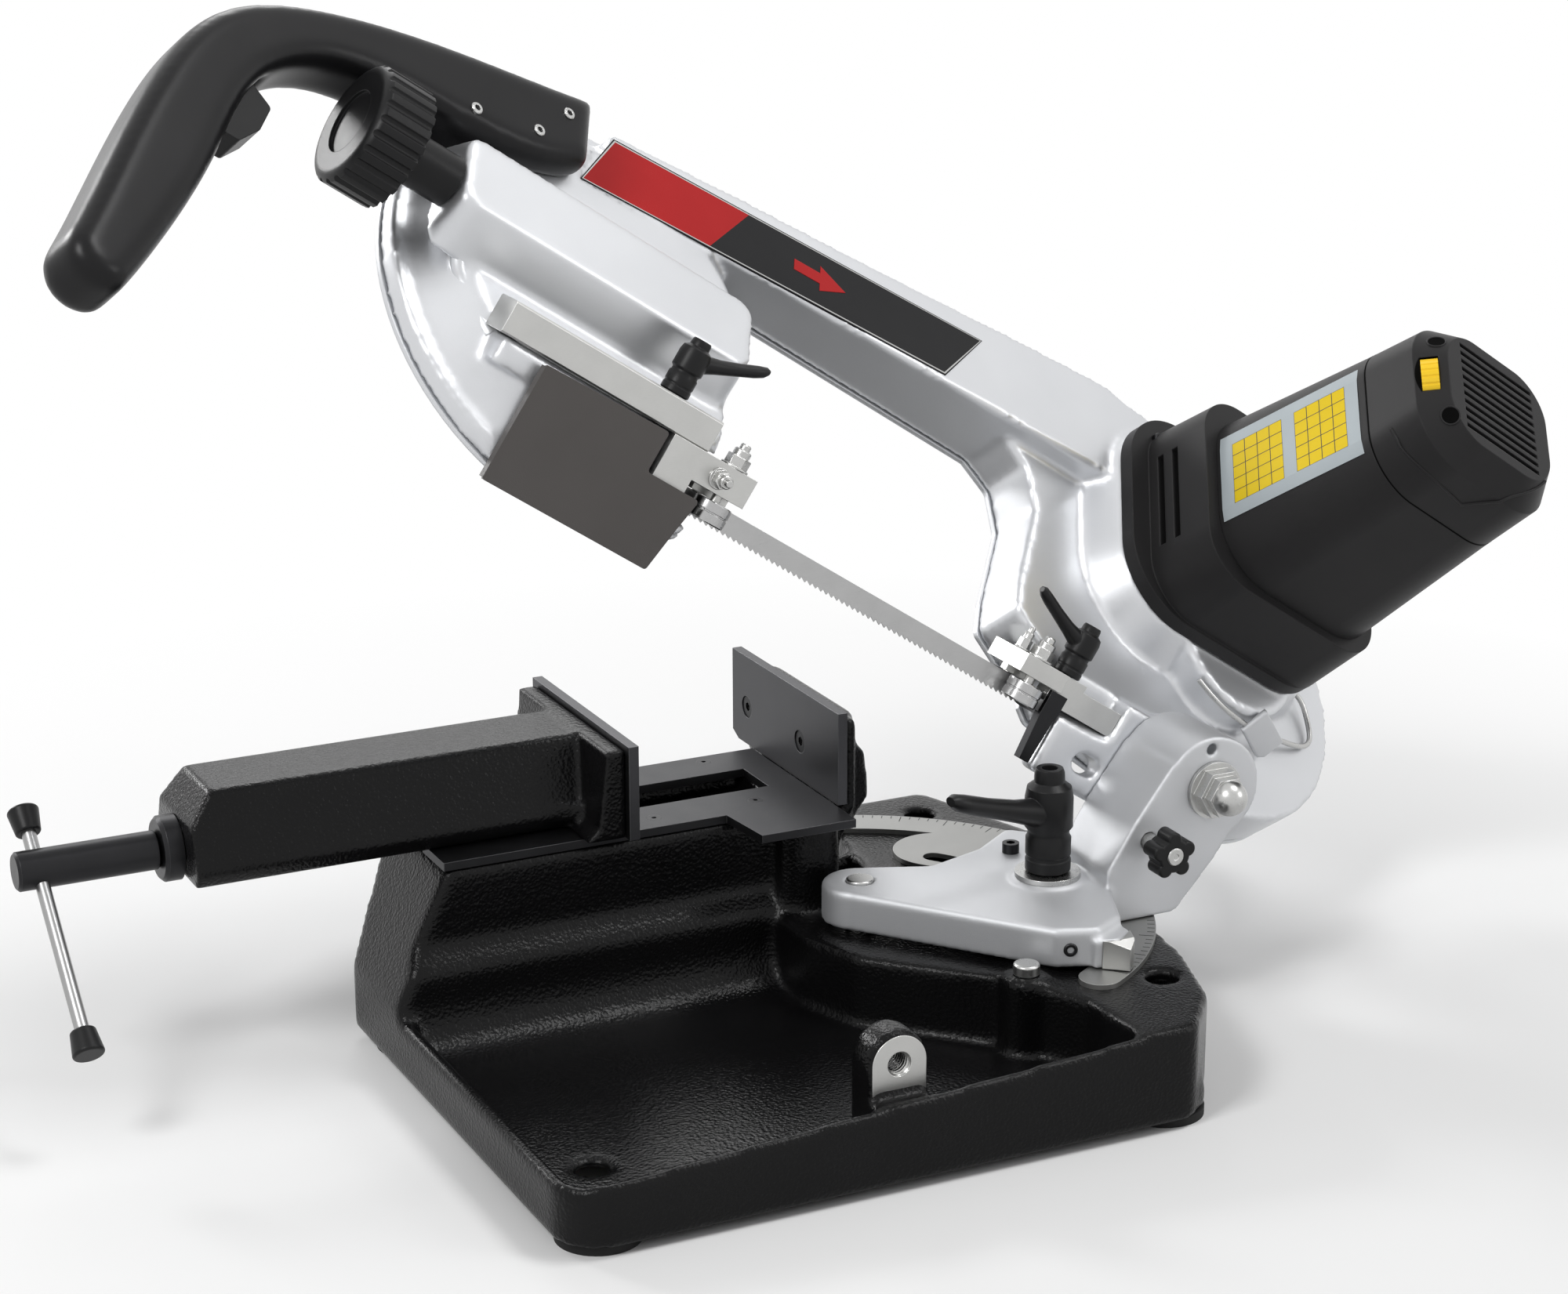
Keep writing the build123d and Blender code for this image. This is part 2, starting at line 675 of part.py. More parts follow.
def swivel_arm():
    back = BLADE_Y + HINGE_FACE
    outline = [
        (186, ARM_BOTTOM),
        (186, 95),
        (203, 121),
        (228, 153),
        (250, 164),
        (284, 145),
        (279, 121),
        (257, 91),
        (245, 78),
        (232, ARM_BOTTOM),
    ]
    bracket = prism_y(outline, BRACKET_FRONT, back, 8.0)
    pocket = [(198, 84), (214, 116), (232, 138), (262, 138), (262, 112), (240, 84)]
    bracket -= prism_y(pocket, BRACKET_FRONT + 14, back + 1, 6.0)
    arm = arm_plate() + bracket
    arm += rod_y(PIVOT_X, BRACKET_FRONT, back, PIVOT_Z, BARREL_R)
    clamp_x, clamp_y = clamp_spot()
    arm += rod_z(clamp_x, clamp_y, ARM_TOP - 1, ARM_TOP + 2, 21)
    arm += rod_y(PLUNGER_X, BRACKET_FRONT, back - 6, PLUNGER_Z, PLUNGER_R + 7)
    # Block that carries the pointer
    pad = [(146, -90), (146, -112), (160, -116), (172, -106), (172, -84)]
    arm += prism(pad, ARM_BOTTOM, POINTER_TOP, 2.0)
    arm -= rod_z(SWIVEL_X, BLADE_Y, ARM_BOTTOM - 1, ARM_TOP + 1, SWIVEL_BOLT_R + FIT)
    arm -= rod_z(clamp_x, clamp_y, ARM_BOTTOM - 1, ARM_TOP + 5, STUD_R)
    arm -= rod_y(PIVOT_X, BRACKET_FRONT - 1, back + 1, PIVOT_Z, PIVOT_R)
    arm -= rod_y(PIVOT_X, back - SPRING_DEPTH, back + 1, PIVOT_Z, SPRING_R + 3)
    arm -= rod_y(PLUNGER_X, BRACKET_FRONT - 1, back + 1, PLUNGER_Z, PLUNGER_R + FIT)
    arm -= rod_y(254, BRACKET_FRONT - 1, BRACKET_FRONT + 10, 159, 3.5)
    for x, y in ARM_SCREWS:
        arm -= rod_z(x, y, ARM_TOP - 14, ARM_TOP + 1, ARM_SCREW_R)
    return arm


def clamp_spot():
    x = SWIVEL_X + CLAMP_R * cos(radians(CLAMP_ANGLE))
    y = BLADE_Y + CLAMP_R * sin(radians(CLAMP_ANGLE))
    return x, y


def arm_screws():
    screws = Part()
    for x, y in ARM_SCREWS:
        head = rod_z(x, y, ARM_TOP, ARM_TOP + 6, 5)
        head += rod_z(x, y, ARM_TOP - 12, ARM_TOP + 1, ARM_SCREW_R)
        screws += head - Pos(x, y, ARM_TOP + 3) * extrude(RegularPolygon(2.8, 6), 4)
    return screws


def scale_pointer():
    # Stands clear of the scale and slopes down to its edge
    low = PLATFORM_Z + SCALE_THICK + GAP + 0.4
    outline = [(150, -113.8), (162, -124), (168, -118), (172, -106.5), (160, -116.5)]
    wedge = prism(outline, low, POINTER_TOP)
    slope = prism_x([(-140, low + 5), (-114, POINTER_TOP + 1), (-140, POINTER_TOP + 1)], 140, 190)
    return wedge - slope


def arm_clamp_stud():
    x, y = clamp_spot()
    stud = rod_z(x, y, PLATFORM_Z - 9, ARM_TOP + 2 + 40, STUD_R)
    stud += rod_z(x, y, PLATFORM_Z - 9, PLATFORM_Z - GAP, 11)
    return stud + rod_z(x, y, ARM_TOP + 2, ARM_TOP + 5, 19)


def clamp_lever(hub_r, hub_height, reach, rise, bore):
    # Turned hub with a tapering arm towards -X, standing on its origin
    hub = rod_z(0, 0, 0, hub_height * 0.75, hub_r)
    hub += Pos(0, 0, hub_height * 0.875) * Cone(hub_r, hub_r * 0.62, hub_height * 0.25)
    low = hub_height * 0.42
    corner = hub_r * 0.3
    root = Rot(0, -90, 0) * RectangleRounded(hub_r * 1.25, hub_r * 1.35, corner)
    tip = Rot(0, -90, 0) * RectangleRounded(hub_r * 0.8, hub_r, corner)
    lever = hub + loft([Pos(0, 0, low + hub_r * 0.62) * root, Pos(-reach, 0, low + rise) * tip])
    return lever - rod_z(0, 0, -1, hub_height * 0.6, bore)


def arm_clamp_lever():
    x, y = clamp_spot()
    lever = clamp_lever(14, 62, 78, 34, STUD_R + FIT)
    return Pos(x, y, ARM_TOP + 5 + GAP) * Rot(0, 0, CLAMP_TURN) * lever


def lock_plunger():
    # Slides into the head's lug to hold it down
    front = BRACKET_FRONT - PLUNGER_TRAVEL - 13
    return rod_y(PLUNGER_X, front, BLADE_Y + HINGE_FACE - 1, PLUNGER_Z, PLUNGER_R)


def lock_knob():
    face = Circle(10)
    for i in range(5):
        face += Rot(0, 0, 72 * i + 18) * Pos(9.5, 0) * Circle(4.5)
    knob = extrude(face, 13)
    knob = fillet(knob.faces().sort_by(Axis.Z)[-1].outer_wire().edges(), 1.5)
    knob += rod_z(0, 0, -4, 0.5, 8)
    knob -= rod_z(0, 0, -7, 9, PLUNGER_R)
    return Pos(PLUNGER_X, BRACKET_FRONT - PLUNGER_TRAVEL - 4.5, PLUNGER_Z) * Rot(90, 0, 0) * knob


def pivot_pin():
    return rod_y(PIVOT_X, BRACKET_FRONT - 16, BLADE_Y + HINGE_BACK, PIVOT_Z, PIVOT_R)


def pivot_nuts():
    # Washer, nut and domed cap nut
    front = Plane.XZ.offset(-BRACKET_FRONT + GAP).location
    stack = rod_z(0, 0, 0, 2.7, 17)
    stack += Pos(0, 0, 2.7) * extrude(RegularPolygon(15, 6), 8)
    stack += Pos(0, 0, 10.7) * extrude(RegularPolygon(12.5, 6), 6)
    stack += Pos(0, 0, 17) * Sphere(10.5)
    stack -= rod_z(0, 0, -1, 15.7, PIVOT_R)
    return Pos(PIVOT_X, 0, PIVOT_Z) * front * stack


def return_spring():
    back = BLADE_Y + HINGE_FACE
    length = SPRING_DEPTH - SPRING_INSET - SPRING_WIRE_R - GAP
    path = Helix(length / SPRING_TURNS, length, SPRING_R - SPRING_WIRE_R)
    wire = sweep(Plane(path @ 0, z_dir=path % 0) * Circle(SPRING_WIRE_R), path)
    return Pos(PIVOT_X, back - SPRING_INSET, PIVOT_Z) * Rot(90, 0, 0) * wire


def wheel(flange):
    # Flanged band wheel about its own axis, with lightening holes
    body = rod_z(0, 0, -RIM_HALF, RIM_HALF, WHEEL_R) + rod_z(0, 0, RIM_HALF, RIM_HALF + 2.2, flange)
    body -= rod_z(0, 0, 3, 20, WHEEL_R - 9) - rod_z(0, 0, 3, 20, 26)
    body -= rod_z(0, 0, -20, -3, WHEEL_R - 9) - rod_z(0, 0, -20, -3, 26)
    for i in range(5):
        body -= Rot(0, 0, 72 * i) * rod_z(52, 0, -5, 5, 15)
    return body


def drive_wheel():
    return BOW * Pos(DRIVE_X, WHEEL_V, 0) * (wheel(FLANGE_R) - rod_z(0, 0, -20, 20, SHAFT_R))


def drive_shaft():
    shaft = rod_z(0, 0, -RIM_HALF - 2, FLANGE_N - 4, SHAFT_R)
    shaft += rod_z(0, 0, -RIM_HALF - 6, -RIM_HALF, SHAFT_R + 6)
    return BOW * Pos(DRIVE_X, WHEEL_V, 0) * shaft


def drive_gear():
    gear = rod_z(0, 0, 27, 38, GEAR_R) - rod_z(0, 0, 20, 45, SHAFT_R)
    return BOW * Pos(DRIVE_X, WHEEL_V, 0) * gear


def motor_pinion():
    reach = sqrt((DRIVE_X - MOTOR_X) ** 2 + (MOTOR_V - WHEEL_V) ** 2)
    pinion = rod_z(0, 0, 26, 39, reach - GEAR_R - GAP) + rod_z(0, 0, 39, COLLAR_N + 90, 7)
    pinion += rod_z(0, 0, COLLAR_N + 10, SEAM_N - 25, 34)
    return BOW * Pos(MOTOR_X, MOTOR_V, 0) * pinion


def idler_wheel():
    return BOW * Pos(IDLER_X, WHEEL_V, 0) * (wheel(FLANGE_R) - rod_z(0, 0, -20, 20, BEARING_R))


def idler_bearings():
    ring = rod_z(0, 0, -RIM_HALF, RIM_HALF + 2, BEARING_R) - rod_z(0, 0, -20, 20, AXLE_R + FIT)
    return BOW * Pos(IDLER_X, WHEEL_V, 0) * ring


def idler_axle():
    axle = rod_z(0, 0, -RIM_HALF - 1, AXLE_END_N, AXLE_R)
    axle += rod_z(0, 0, -RIM_HALF - 4, -RIM_HALF - GAP, AXLE_R + 4)
    return BOW * Pos(IDLER_X, WHEEL_V, 0) * axle


def tension_carriage():
    low, high = CARRIAGE_N
    slide = block(IDLER_X - 22, IDLER_X + 22, *CARRIAGE_V, low, high)
    slide -= rod_z(IDLER_X, WHEEL_V, 0, AXLE_END_N, AXLE_R)
    slide -= rod_x(IDLER_X - 30, IDLER_X + 30, TENSION_V, TENSION_N, TENSION_SCREW_R + FIT)
    return BOW * slide


def tension_screw():
    return BOW * rod_x(KNOB_X + 4, IDLER_X + 26, TENSION_V, TENSION_N, TENSION_SCREW_R)


def tension_knob():
    grip = Circle(KNOB_R)
    for i in range(KNOB_FLUTES):
        grip -= Rot(0, 0, 360 / KNOB_FLUTES * i) * Pos(KNOB_R + 0.8, 0) * Circle(2.4)
    front = Cylinder(KNOB_R + 1, KNOB_DEPTH, align=(Align.CENTER, Align.CENTER, Align.MIN))
    front = fillet(front.edges().filter_by(GeomType.CIRCLE).sort_by(Axis.Z)[0], KNOB_ROUND)
    knob = extrude(grip, KNOB_DEPTH) & front
    knob += Pos(0, 0, KNOB_DEPTH + 4) * Cone(KNOB_R - 12, KNOB_NECK_R, 8)
    knob += rod_z(0, 0, 10, KNOB_NECK, KNOB_NECK_R)
    knob -= rod_z(0, 0, 4, KNOB_NECK + 1, TENSION_SCREW_R)
    knob -= rod_z(0, 0, -1, 2, KNOB_R - 16)
    return BOW * Pos(KNOB_X, TENSION_V, TENSION_N) * Rot(0, 90, 0) * knob


def blade_section(x, angle):
    return HEAD * Pos(x, 0, 0) * Rot(angle, 0, 0) * Plane.YZ.location * Rectangle(BLADE_THICK, BLADE_WIDTH)


def saw_blade():
    half = BLADE_WIDTH / 2
    points = [(GUIDE_RIGHT_X, half), (GUIDE_LEFT_X, half), (GUIDE_LEFT_X, -half)]
    count = int((GUIDE_RIGHT_X - GUIDE_LEFT_X - 8) / TOOTH_PITCH)
    for i in range(count):
        x = GUIDE_LEFT_X + 4 + i * TOOTH_PITCH
        points += [(x, -half), (x + 0.6, -half + TOOTH_DEPTH), (x + TOOTH_PITCH * 0.7, -half + 0.6)]
    points += [(GUIDE_RIGHT_X - 4, -half), (GUIDE_RIGHT_X, -half)]
    blade = HEAD * prism_y(points, -BLADE_THICK / 2, BLADE_THICK / 2)
    steps = 6
    leave = IDLER_X + CARRIAGE_TRAVEL + 4
    blade += BOW * block(IDLER_X, leave, -BLADE_THICK / 2, BLADE_THICK / 2, -half, half)
    for guide, wheel_x in ((GUIDE_LEFT_X, leave), (GUIDE_RIGHT_X, DRIVE_X)):
        sections = []
        for i in range(steps + 1):
            part = i / steps
            sections.append(blade_section(guide + (wheel_x - guide) * part, BOW_TILT * part))
        blade += loft(sections)
    outer = BLADE_RADIUS + BLADE_THICK / 2
    ring = Circle(outer) - Circle(outer - BLADE_THICK)
    left = Pos(IDLER_X, WHEEL_V) * (ring & Pos(-outer, 0) * Rectangle(2 * outer, 3 * outer))
    right = Pos(DRIVE_X, WHEEL_V) * (ring & Pos(outer, 0) * Rectangle(2 * outer, 3 * outer))
    for half_ring in (left, right):
        blade += BOW * Pos(0, 0, -half) * extrude(half_ring, BLADE_WIDTH)
    top = WHEEL_V + BLADE_RADIUS
    blade += BOW * block(IDLER_X, DRIVE_X, top - BLADE_THICK / 2, top + BLADE_THICK / 2, -half, half)
    return blade


def tilt(shape):
    # From the bow's own plane into the head's upright one
    return Rot(BOW_TILT, 0, 0) * shape


def bow_outline(low, high):
    disc = rod_z(IDLER_X, WHEEL_V, low, high, IDLER_HOUSE_R)
    disc -= block(IDLER_CUT_X, 0, -200, BACKBONE_LOW, low - 1, high + 1)
    shape = disc + rod_z(DRIVE_X, WHEEL_V, low, high, DRIVE_HOUSE_R)
    shape += prism(spine_points(), low, high)
    shape += prism(throat_points(), low, high, 6.0)
    return shape


def spine_points():
    return [(-437, BACKBONE_LOW), (40, BACKBONE_LOW), (60, 196), (20, 222), (-66, 233), (-437, 207)]


def throat_points():
    # The right side of the throat, down to the blade's exit and the hinge
    return [
        (-150, 175),
        (-112, 150),
        (-105, 122),
        (-118, 62),
        (-120, 40),
        (-92, 16),
        (-80, -4),
        (-10, -14),
        (30, -18),
        (44, 60),
        (44, 175),
    ]


def idler_cavity():
    room = WHEEL_R + 10
    stay = rod_z(IDLER_X, WHEEL_V, REAR_N - 1, RIM_HALF + 5, room)
    moved = rod_z(IDLER_X + CARRIAGE_TRAVEL, WHEEL_V, REAR_N - 1, RIM_HALF + 5, room)
    return stay + moved


def idler_dome():
    height = PLATEAU_N + 2
    dome = Cone(IDLER_HOUSE_R - DOME_RIM, IDLER_HOUSE_R - 34, height)
    return Pos(IDLER_X, WHEEL_V, PLATEAU_N - height / 2) * dome


def tension_box():
    low = Pos(0, 0, PLATEAU_N - 4) * round_box(-447, 88, 204, 74, 12)
    high = Pos(0, 0, CARRIAGE_N[1] + 4) * round_box(-448, 89, 196, 46, 10)
    return loft([low, high])


def motor_drum():
    low = Pos(-9, 2, PLATEAU_N - 6) * round_box(MOTOR_X, MOTOR_V, 194, 176, 60)
    high = Pos(-9, 2, FLANGE_N) * round_box(MOTOR_X, MOTOR_V, 166, 148, 46)
    return loft([low, high])


def bow_casting():
    # Built in the head's frame: the bow leans back, the hinge and guides stand upright
    bow = bow_outline(REAR_N, -2)
    bow += idler_dome() - block(IDLER_CUT_X, 0, -200, 400, -50, 100)
    front = [(-470, -3), (62, -3), (62, 38), (-66, 38), (-437, 18), (-470, 18)]
    bow += prism(spine_points(), -3, 60) & prism_y(front, 0, 300)
    bow += prism(throat_points(), -3, PLATEAU_N, 6.0)
    bow += rod_z(DRIVE_X, WHEEL_V, -3, PLATEAU_N, DRIVE_HOUSE_R)
    bow += rod_z(DRIVE_X, WHEEL_V, 0, FLANGE_N - 2, GEAR_R + 9)
    bow += motor_drum()
    bow += tension_box()
    bow -= idler_cavity()
    bow -= rod_z(DRIVE_X, WHEEL_V, REAR_N - 1, RIM_HALF + 5, FLANGE_R + 2.5)
    bow -= block(IDLER_X, DRIVE_X, BACKBONE_LOW + 5, BACKBONE_LOW + 32, REAR_N - 1, RIM_HALF + 5)
    # Slide way and screw hole of the blade tension
    way_low = CARRIAGE_V[0] - GAP
    way_high = CARRIAGE_V[1] + GAP
    bow -= block(IDLER_X - 40, IDLER_X + 36, way_low, way_high, 0, CARRIAGE_N[1] + GAP)
    bow -= rod_x(-570, IDLER_X, TENSION_V, TENSION_N, TENSION_SCREW_R + FIT)
    bow -= rod_x(-570, KNOB_X + KNOB_NECK + GAP, TENSION_V, TENSION_N, KNOB_NECK_R + 3)
    # Gear case
    bow -= rod_z(DRIVE_X, WHEEL_V, 0, 60, SHAFT_R + FIT)
    bow -= rod_z(DRIVE_X, WHEEL_V, 26, 39, GEAR_R + 3)
    bow -= rod_z(MOTOR_X, MOTOR_V, 25, 60, 50)
    head = tilt(bow)
    head += block(-40, 34, HINGE_FACE + GAP, -5, -12, 26)
    head += rod_y(0, HINGE_FACE + GAP, -5, BLADE_DROP, 26)
    head += block(-80, -28, HINGE_FACE + GAP, -5, -36, 0)
    head += block(-500, LEDGE_RIGHT, -16, 14, 12, BAR_LEFT_Z[0] - GAP)
    head -= tilt(idler_cavity())
    head -= tilt(rod_z(DRIVE_X, WHEEL_V, REAR_N - 1, RIM_HALF + 5, FLANGE_R + 2.5))
    # Room for the hinge barrel of the swivel arm in front of the hinge face
    head -= rod_y(0, -90, HINGE_FACE + GAP, BLADE_DROP, 64)
    head -= rod_y(0, -40, HINGE_BACK, BLADE_DROP, PIVOT_R)
    head -= block(-140, -20, -4.5, 4.5, -9, 9)
    head -= rod_x(-40, DRIVE_X, 0, 0, 9.5)
    head -= rod_x(IDLER_X, IDLER_CUT_X + 8, 0, 0, 11)
    # Flat behind the blade guard, and room for the guides
    head -= guard_room() + left_guide_room() + right_guide_room()
    head -= guide_way(-700, -300, BAR_LEFT_Y, BAR_LEFT_Z)
    head -= guide_way(-160, BAR_RIGHT_X[1] + GAP, BAR_RIGHT_Y, BAR_RIGHT_Z)
    head -= rod_z(CLAMP_LEFT_X, bar_middle(BAR_LEFT_Y), 0, 60, GUIDE_STUD_R + FIT)
    lock_x = PLUNGER_X - PIVOT_X
    lock_z = PLUNGER_Z - PIVOT_Z + BLADE_DROP
    for shift in (0, -8):
        head -= rod_y(lock_x + shift, -40, 0, lock_z, PLUNGER_R + 1)
    head -= block(lock_x - 8, lock_x, -40, 0, lock_z - PLUNGER_R - 1, lock_z + PLUNGER_R + 1)
    return HEAD * head


def guard_room():
    return block(-520, -280, -80, GUARD_Y + 5.5, -80, 60)


def left_guide_room():
    front = block(LEDGE_RIGHT, -300, -60, -3, -50, BAR_LEFT_Z[0] + GAP)
    return front + block(ROLLER_X_LEFT - 18, -300, -10, 30, -12, BAR_LEFT_Z[0] + 1)


def right_guide_room():
    room = block(-140, BAR_RIGHT_X[0] + 8, -24, 25, -12, BAR_RIGHT_Z[1] + 5)
    return room + block(-140, CLAMP_RIGHT_X + 10, -40, 2, BAR_RIGHT_Z[1], 90)


def bar_middle(span):
    return (span[0] + span[1]) / 2


def guide_way(left, right, y, z):
    return block(left, right, y[0] - 40, y[1] + GAP, z[0] - GAP, z[1] + 40)


def rear_cover():
    plate = bow_outline(REAR_N - COVER_THICK, REAR_N)
    drum = Pos(DRIVE_X, WHEEL_V, REAR_N - 12.5) * Cone(DRIVE_HOUSE_R - 18, DRIVE_HOUSE_R - 6, 25)
    room = Pos(DRIVE_X, WHEEL_V, REAR_N - 11) * Cone(DRIVE_HOUSE_R - 21, DRIVE_HOUSE_R - 9, 23)
    cover = tilt(plate + drum - room) - guard_room()
    return HEAD * (cover - left_guide_room() - right_guide_room())


def handle_outline():
    back = Spline(*HANDLE_BACK)
    grip = Spline(*HANDLE_GRIP)
    tip = TangentArc(back @ 1, grip @ 0, tangent=back % 1)
    return make_face([back, tip, grip, Line(grip @ 1, back @ 0)])


def handle_half(low, high, outer):
    # One moulded half, seated over the idler housing and round the trigger's room
    half = Pos(0, 0, low) * extrude(handle_outline(), high - low)
    half = fillet(half.faces().sort_by(Axis.Z)[outer].outer_wire().edges(), HANDLE_ROUND)
    half -= rod_z(IDLER_X, WHEEL_V, REAR_N, -2, IDLER_HOUSE_R) + idler_dome() + tension_box()
    x, v = TRIGGER_PIVOT
    room = TRIGGER_HALF + GAP
    half -= block(x - 16, x + 40, v - 52, v + 10, HANDLE_N - room, HANDLE_N + room)
    reach = TRIGGER_PIN_HALF + 1
    return half - rod_z(x, v, HANDLE_N - reach, HANDLE_N + reach, TRIGGER_PIN_R)


def handle_front_shell():
    return BOW * handle_half(HANDLE_N, HANDLE_N + HANDLE_HALF, -1)


def handle_rear_shell():
    return BOW * handle_half(HANDLE_N - HANDLE_HALF, HANDLE_N, 0)


def trigger():
    x, v = TRIGGER_PIVOT
    points = [
        (x - 5, v + 5),
        (x + 6, v + 5),
        (x + 25, v - 8),
        (x + 21, v - 26),
        (x + 11, v - 40),
        (x + 1, v - 40),
    ]
    finger = prism(points, HANDLE_N - TRIGGER_HALF, HANDLE_N + TRIGGER_HALF, 3.0)
    pin = (HANDLE_N - TRIGGER_PIN_HALF, HANDLE_N + TRIGGER_PIN_HALF)
    finger += rod_z(x, v, *pin, TRIGGER_PIN_R - FIT)
    return BOW * finger


def motor_section(width, height, radius, level):
    return Pos(0, 0, level) * round_box(MOTOR_X, MOTOR_V, width, height, radius)


def gearbox_housing():
    flange = Pos(-9, 2, 0) * extrude(motor_section(170, 152, 46, FLANGE_N), 9)
    case = loft([motor_section(150, 144, 34, FLANGE_N + 8), motor_section(144, 138, 32, COLLAR_N)])
    housing = flange + Pos(-4, 0, 0) * case
    housing -= rod_z(MOTOR_X, MOTOR_V, FLANGE_N - 1, COLLAR_N - 6, 48)
    housing -= rod_z(MOTOR_X, MOTOR_V, FLANGE_N, COLLAR_N + 1, 9)
    # Cooling slots in the sides
    for side in (-1, 1):
        edge = MOTOR_X - 4 + side * 76
        for level in (FLANGE_N + 16, FLANGE_N + 27):
            housing -= block(edge - 9, edge + 9, MOTOR_V - 34, MOTOR_V + 34, level, level + 4.5)
    return BOW * housing


def motor_housing():
    shell = loft([motor_section(134, 126, 40, COLLAR_N), motor_section(114, 108, 34, SEAM_N)])
    shell -= rod_z(MOTOR_X, MOTOR_V, COLLAR_N - 1, SEAM_N + 1, 44)
    return BOW * shell


def motor_end_cap():
    shoulder = MOTOR_END_N - 16
    cap = loft([motor_section(114, 108, 34, SEAM_N), motor_section(112, 102, 34, shoulder)])
    cap += loft([motor_section(112, 102, 34, shoulder), motor_section(88, 78, 26, MOTOR_END_N)])
    cap -= rod_z(MOTOR_X, MOTOR_V, SEAM_N - 1, SEAM_N + 30, 40)
    for i in range(11):
        level = MOTOR_V - 30 + i * 6
        cap -= block(MOTOR_X - 32, MOTOR_X + 32, level - 1.5, level + 1.5, MOTOR_END_N - 5, MOTOR_END_N + 1)
    half = DIAL_THICK / 2 + GAP
    cap -= dial_place() * rod_z(0, 0, -half, half, DIAL_R + 0.5)
    cap -= dial_place() * rod_z(0, 0, -12, 12, DIAL_PIN_R + FIT)
    return BOW * cap


def dial_place():
    # Leans with the end cap's left chamfer
    return Pos(DIAL_X, DIAL_V, DIAL_N) * Rot(0, DIAL_LEAN, 0)


def speed_dial():
    half = DIAL_THICK / 2
    face = Circle(DIAL_R - 0.6)
    for i in range(24):
        face -= Rot(0, 0, 15 * i) * Pos(DIAL_R, 0) * Circle(1.1)
    dial = Pos(0, 0, -half) * extrude(face, DIAL_THICK)
    return BOW * dial_place() * (dial + rod_z(0, 0, -11.5, 11.5, DIAL_PIN_R))


def left_guide_bar():
    bar = block(*BAR_LEFT_X, *BAR_LEFT_Y, *BAR_LEFT_Z)
    bar = chamfer(bar.edges().filter_by(Axis.X), 1)
    middle = bar_middle(BAR_LEFT_Y)
    half = GUIDE_STUD_R + 0.5
    bar -= block(-486, CLAMP_LEFT_X + 1, middle - half, middle + half, 0, 60)
    bar -= rod_z(CLAMP_LEFT_X + 1, middle, 0, 60, half) + rod_z(-486, middle, 0, 60, half)
    return HEAD * bar


def roller_pins(x, low, high):
    pins = Part()
    for side in (-1, 1):
        pins += rod_z(x, side * roller_offset(), low, high, ROLLER_PIN_R)
    return pins


def roller_offset():
    return ROLLER_R + BLADE_THICK / 2 + ROLLER_PLAY


def guide_roller(x, side):
    y = side * roller_offset()
    return HEAD * (rod_z(x, y, -5, 7, ROLLER_R) - rod_z(x, y, -6, 8, ROLLER_PIN_R + FIT))


def left_guide_block():
    # Hangs under the bar's end and holds the rollers over the blade
    top = BAR_LEFT_Z[0]
    body = block(LEDGE_RIGHT + 4, ROLLER_X_LEFT + 13, -19, -4, 11, top)
    body += block(ROLLER_X_LEFT - 12, ROLLER_X_LEFT + 13, -5, 18, 11, top)
    body += block(LEDGE_RIGHT + 2, -366, -19, -12, -12, top)
    body += block(ROLLER_X_LEFT - 12, ROLLER_X_LEFT + 12, -3, 3, 7.3, 12)
    body -= tilt(rod_z(IDLER_X + CARRIAGE_TRAVEL, WHEEL_V, -RIM_HALF - 2, RIM_HALF + 5, FLANGE_R + 1.5))
    return HEAD * (body + roller_pins(ROLLER_X_LEFT, -5, 12))


def blade_guard():
    outline = [
        (-476, 25),
        (-394, 27),
        (-394, 3),
        (-358, 3),
        (-362, -18),
        (-366, -43),
        (-476, -43),
    ]
    sheet = prism_y(outline, GUARD_Y, GUARD_Y + 2, 2.0)
    sheet += block(-476, -474, GUARD_Y, GUARD_Y + 5, -42, 24)
    sheet += block(-474, -368, GUARD_Y, GUARD_Y + 5, -43, -41)
    sheet += block(LEDGE_RIGHT + 3, LEDGE_RIGHT + 16, GUARD_Y + 1, -19, -9, 1)
    return HEAD * sheet


def guide_lever(x, y, low, seat, turn):
    # Lever on the stud that clamps a guide bar
    lever = Pos(x, y, seat + GAP) * Rot(0, 0, turn) * clamp_lever(9, 32, 44, 22, GUIDE_STUD_R)
    return HEAD * (lever + rod_z(x, y, low, seat + 15, GUIDE_STUD_R))


def left_clamp_lever():
    low = BAR_LEFT_Z[0] - 10
    return guide_lever(CLAMP_LEFT_X, bar_middle(BAR_LEFT_Y), low, BAR_LEFT_Z[1], 180)


def right_clamp_lever():
    low = BAR_RIGHT_Z[0] + 2
    return guide_lever(CLAMP_RIGHT_X, bar_middle(BAR_RIGHT_Y), low, BAR_RIGHT_Z[1] + 4, 0)


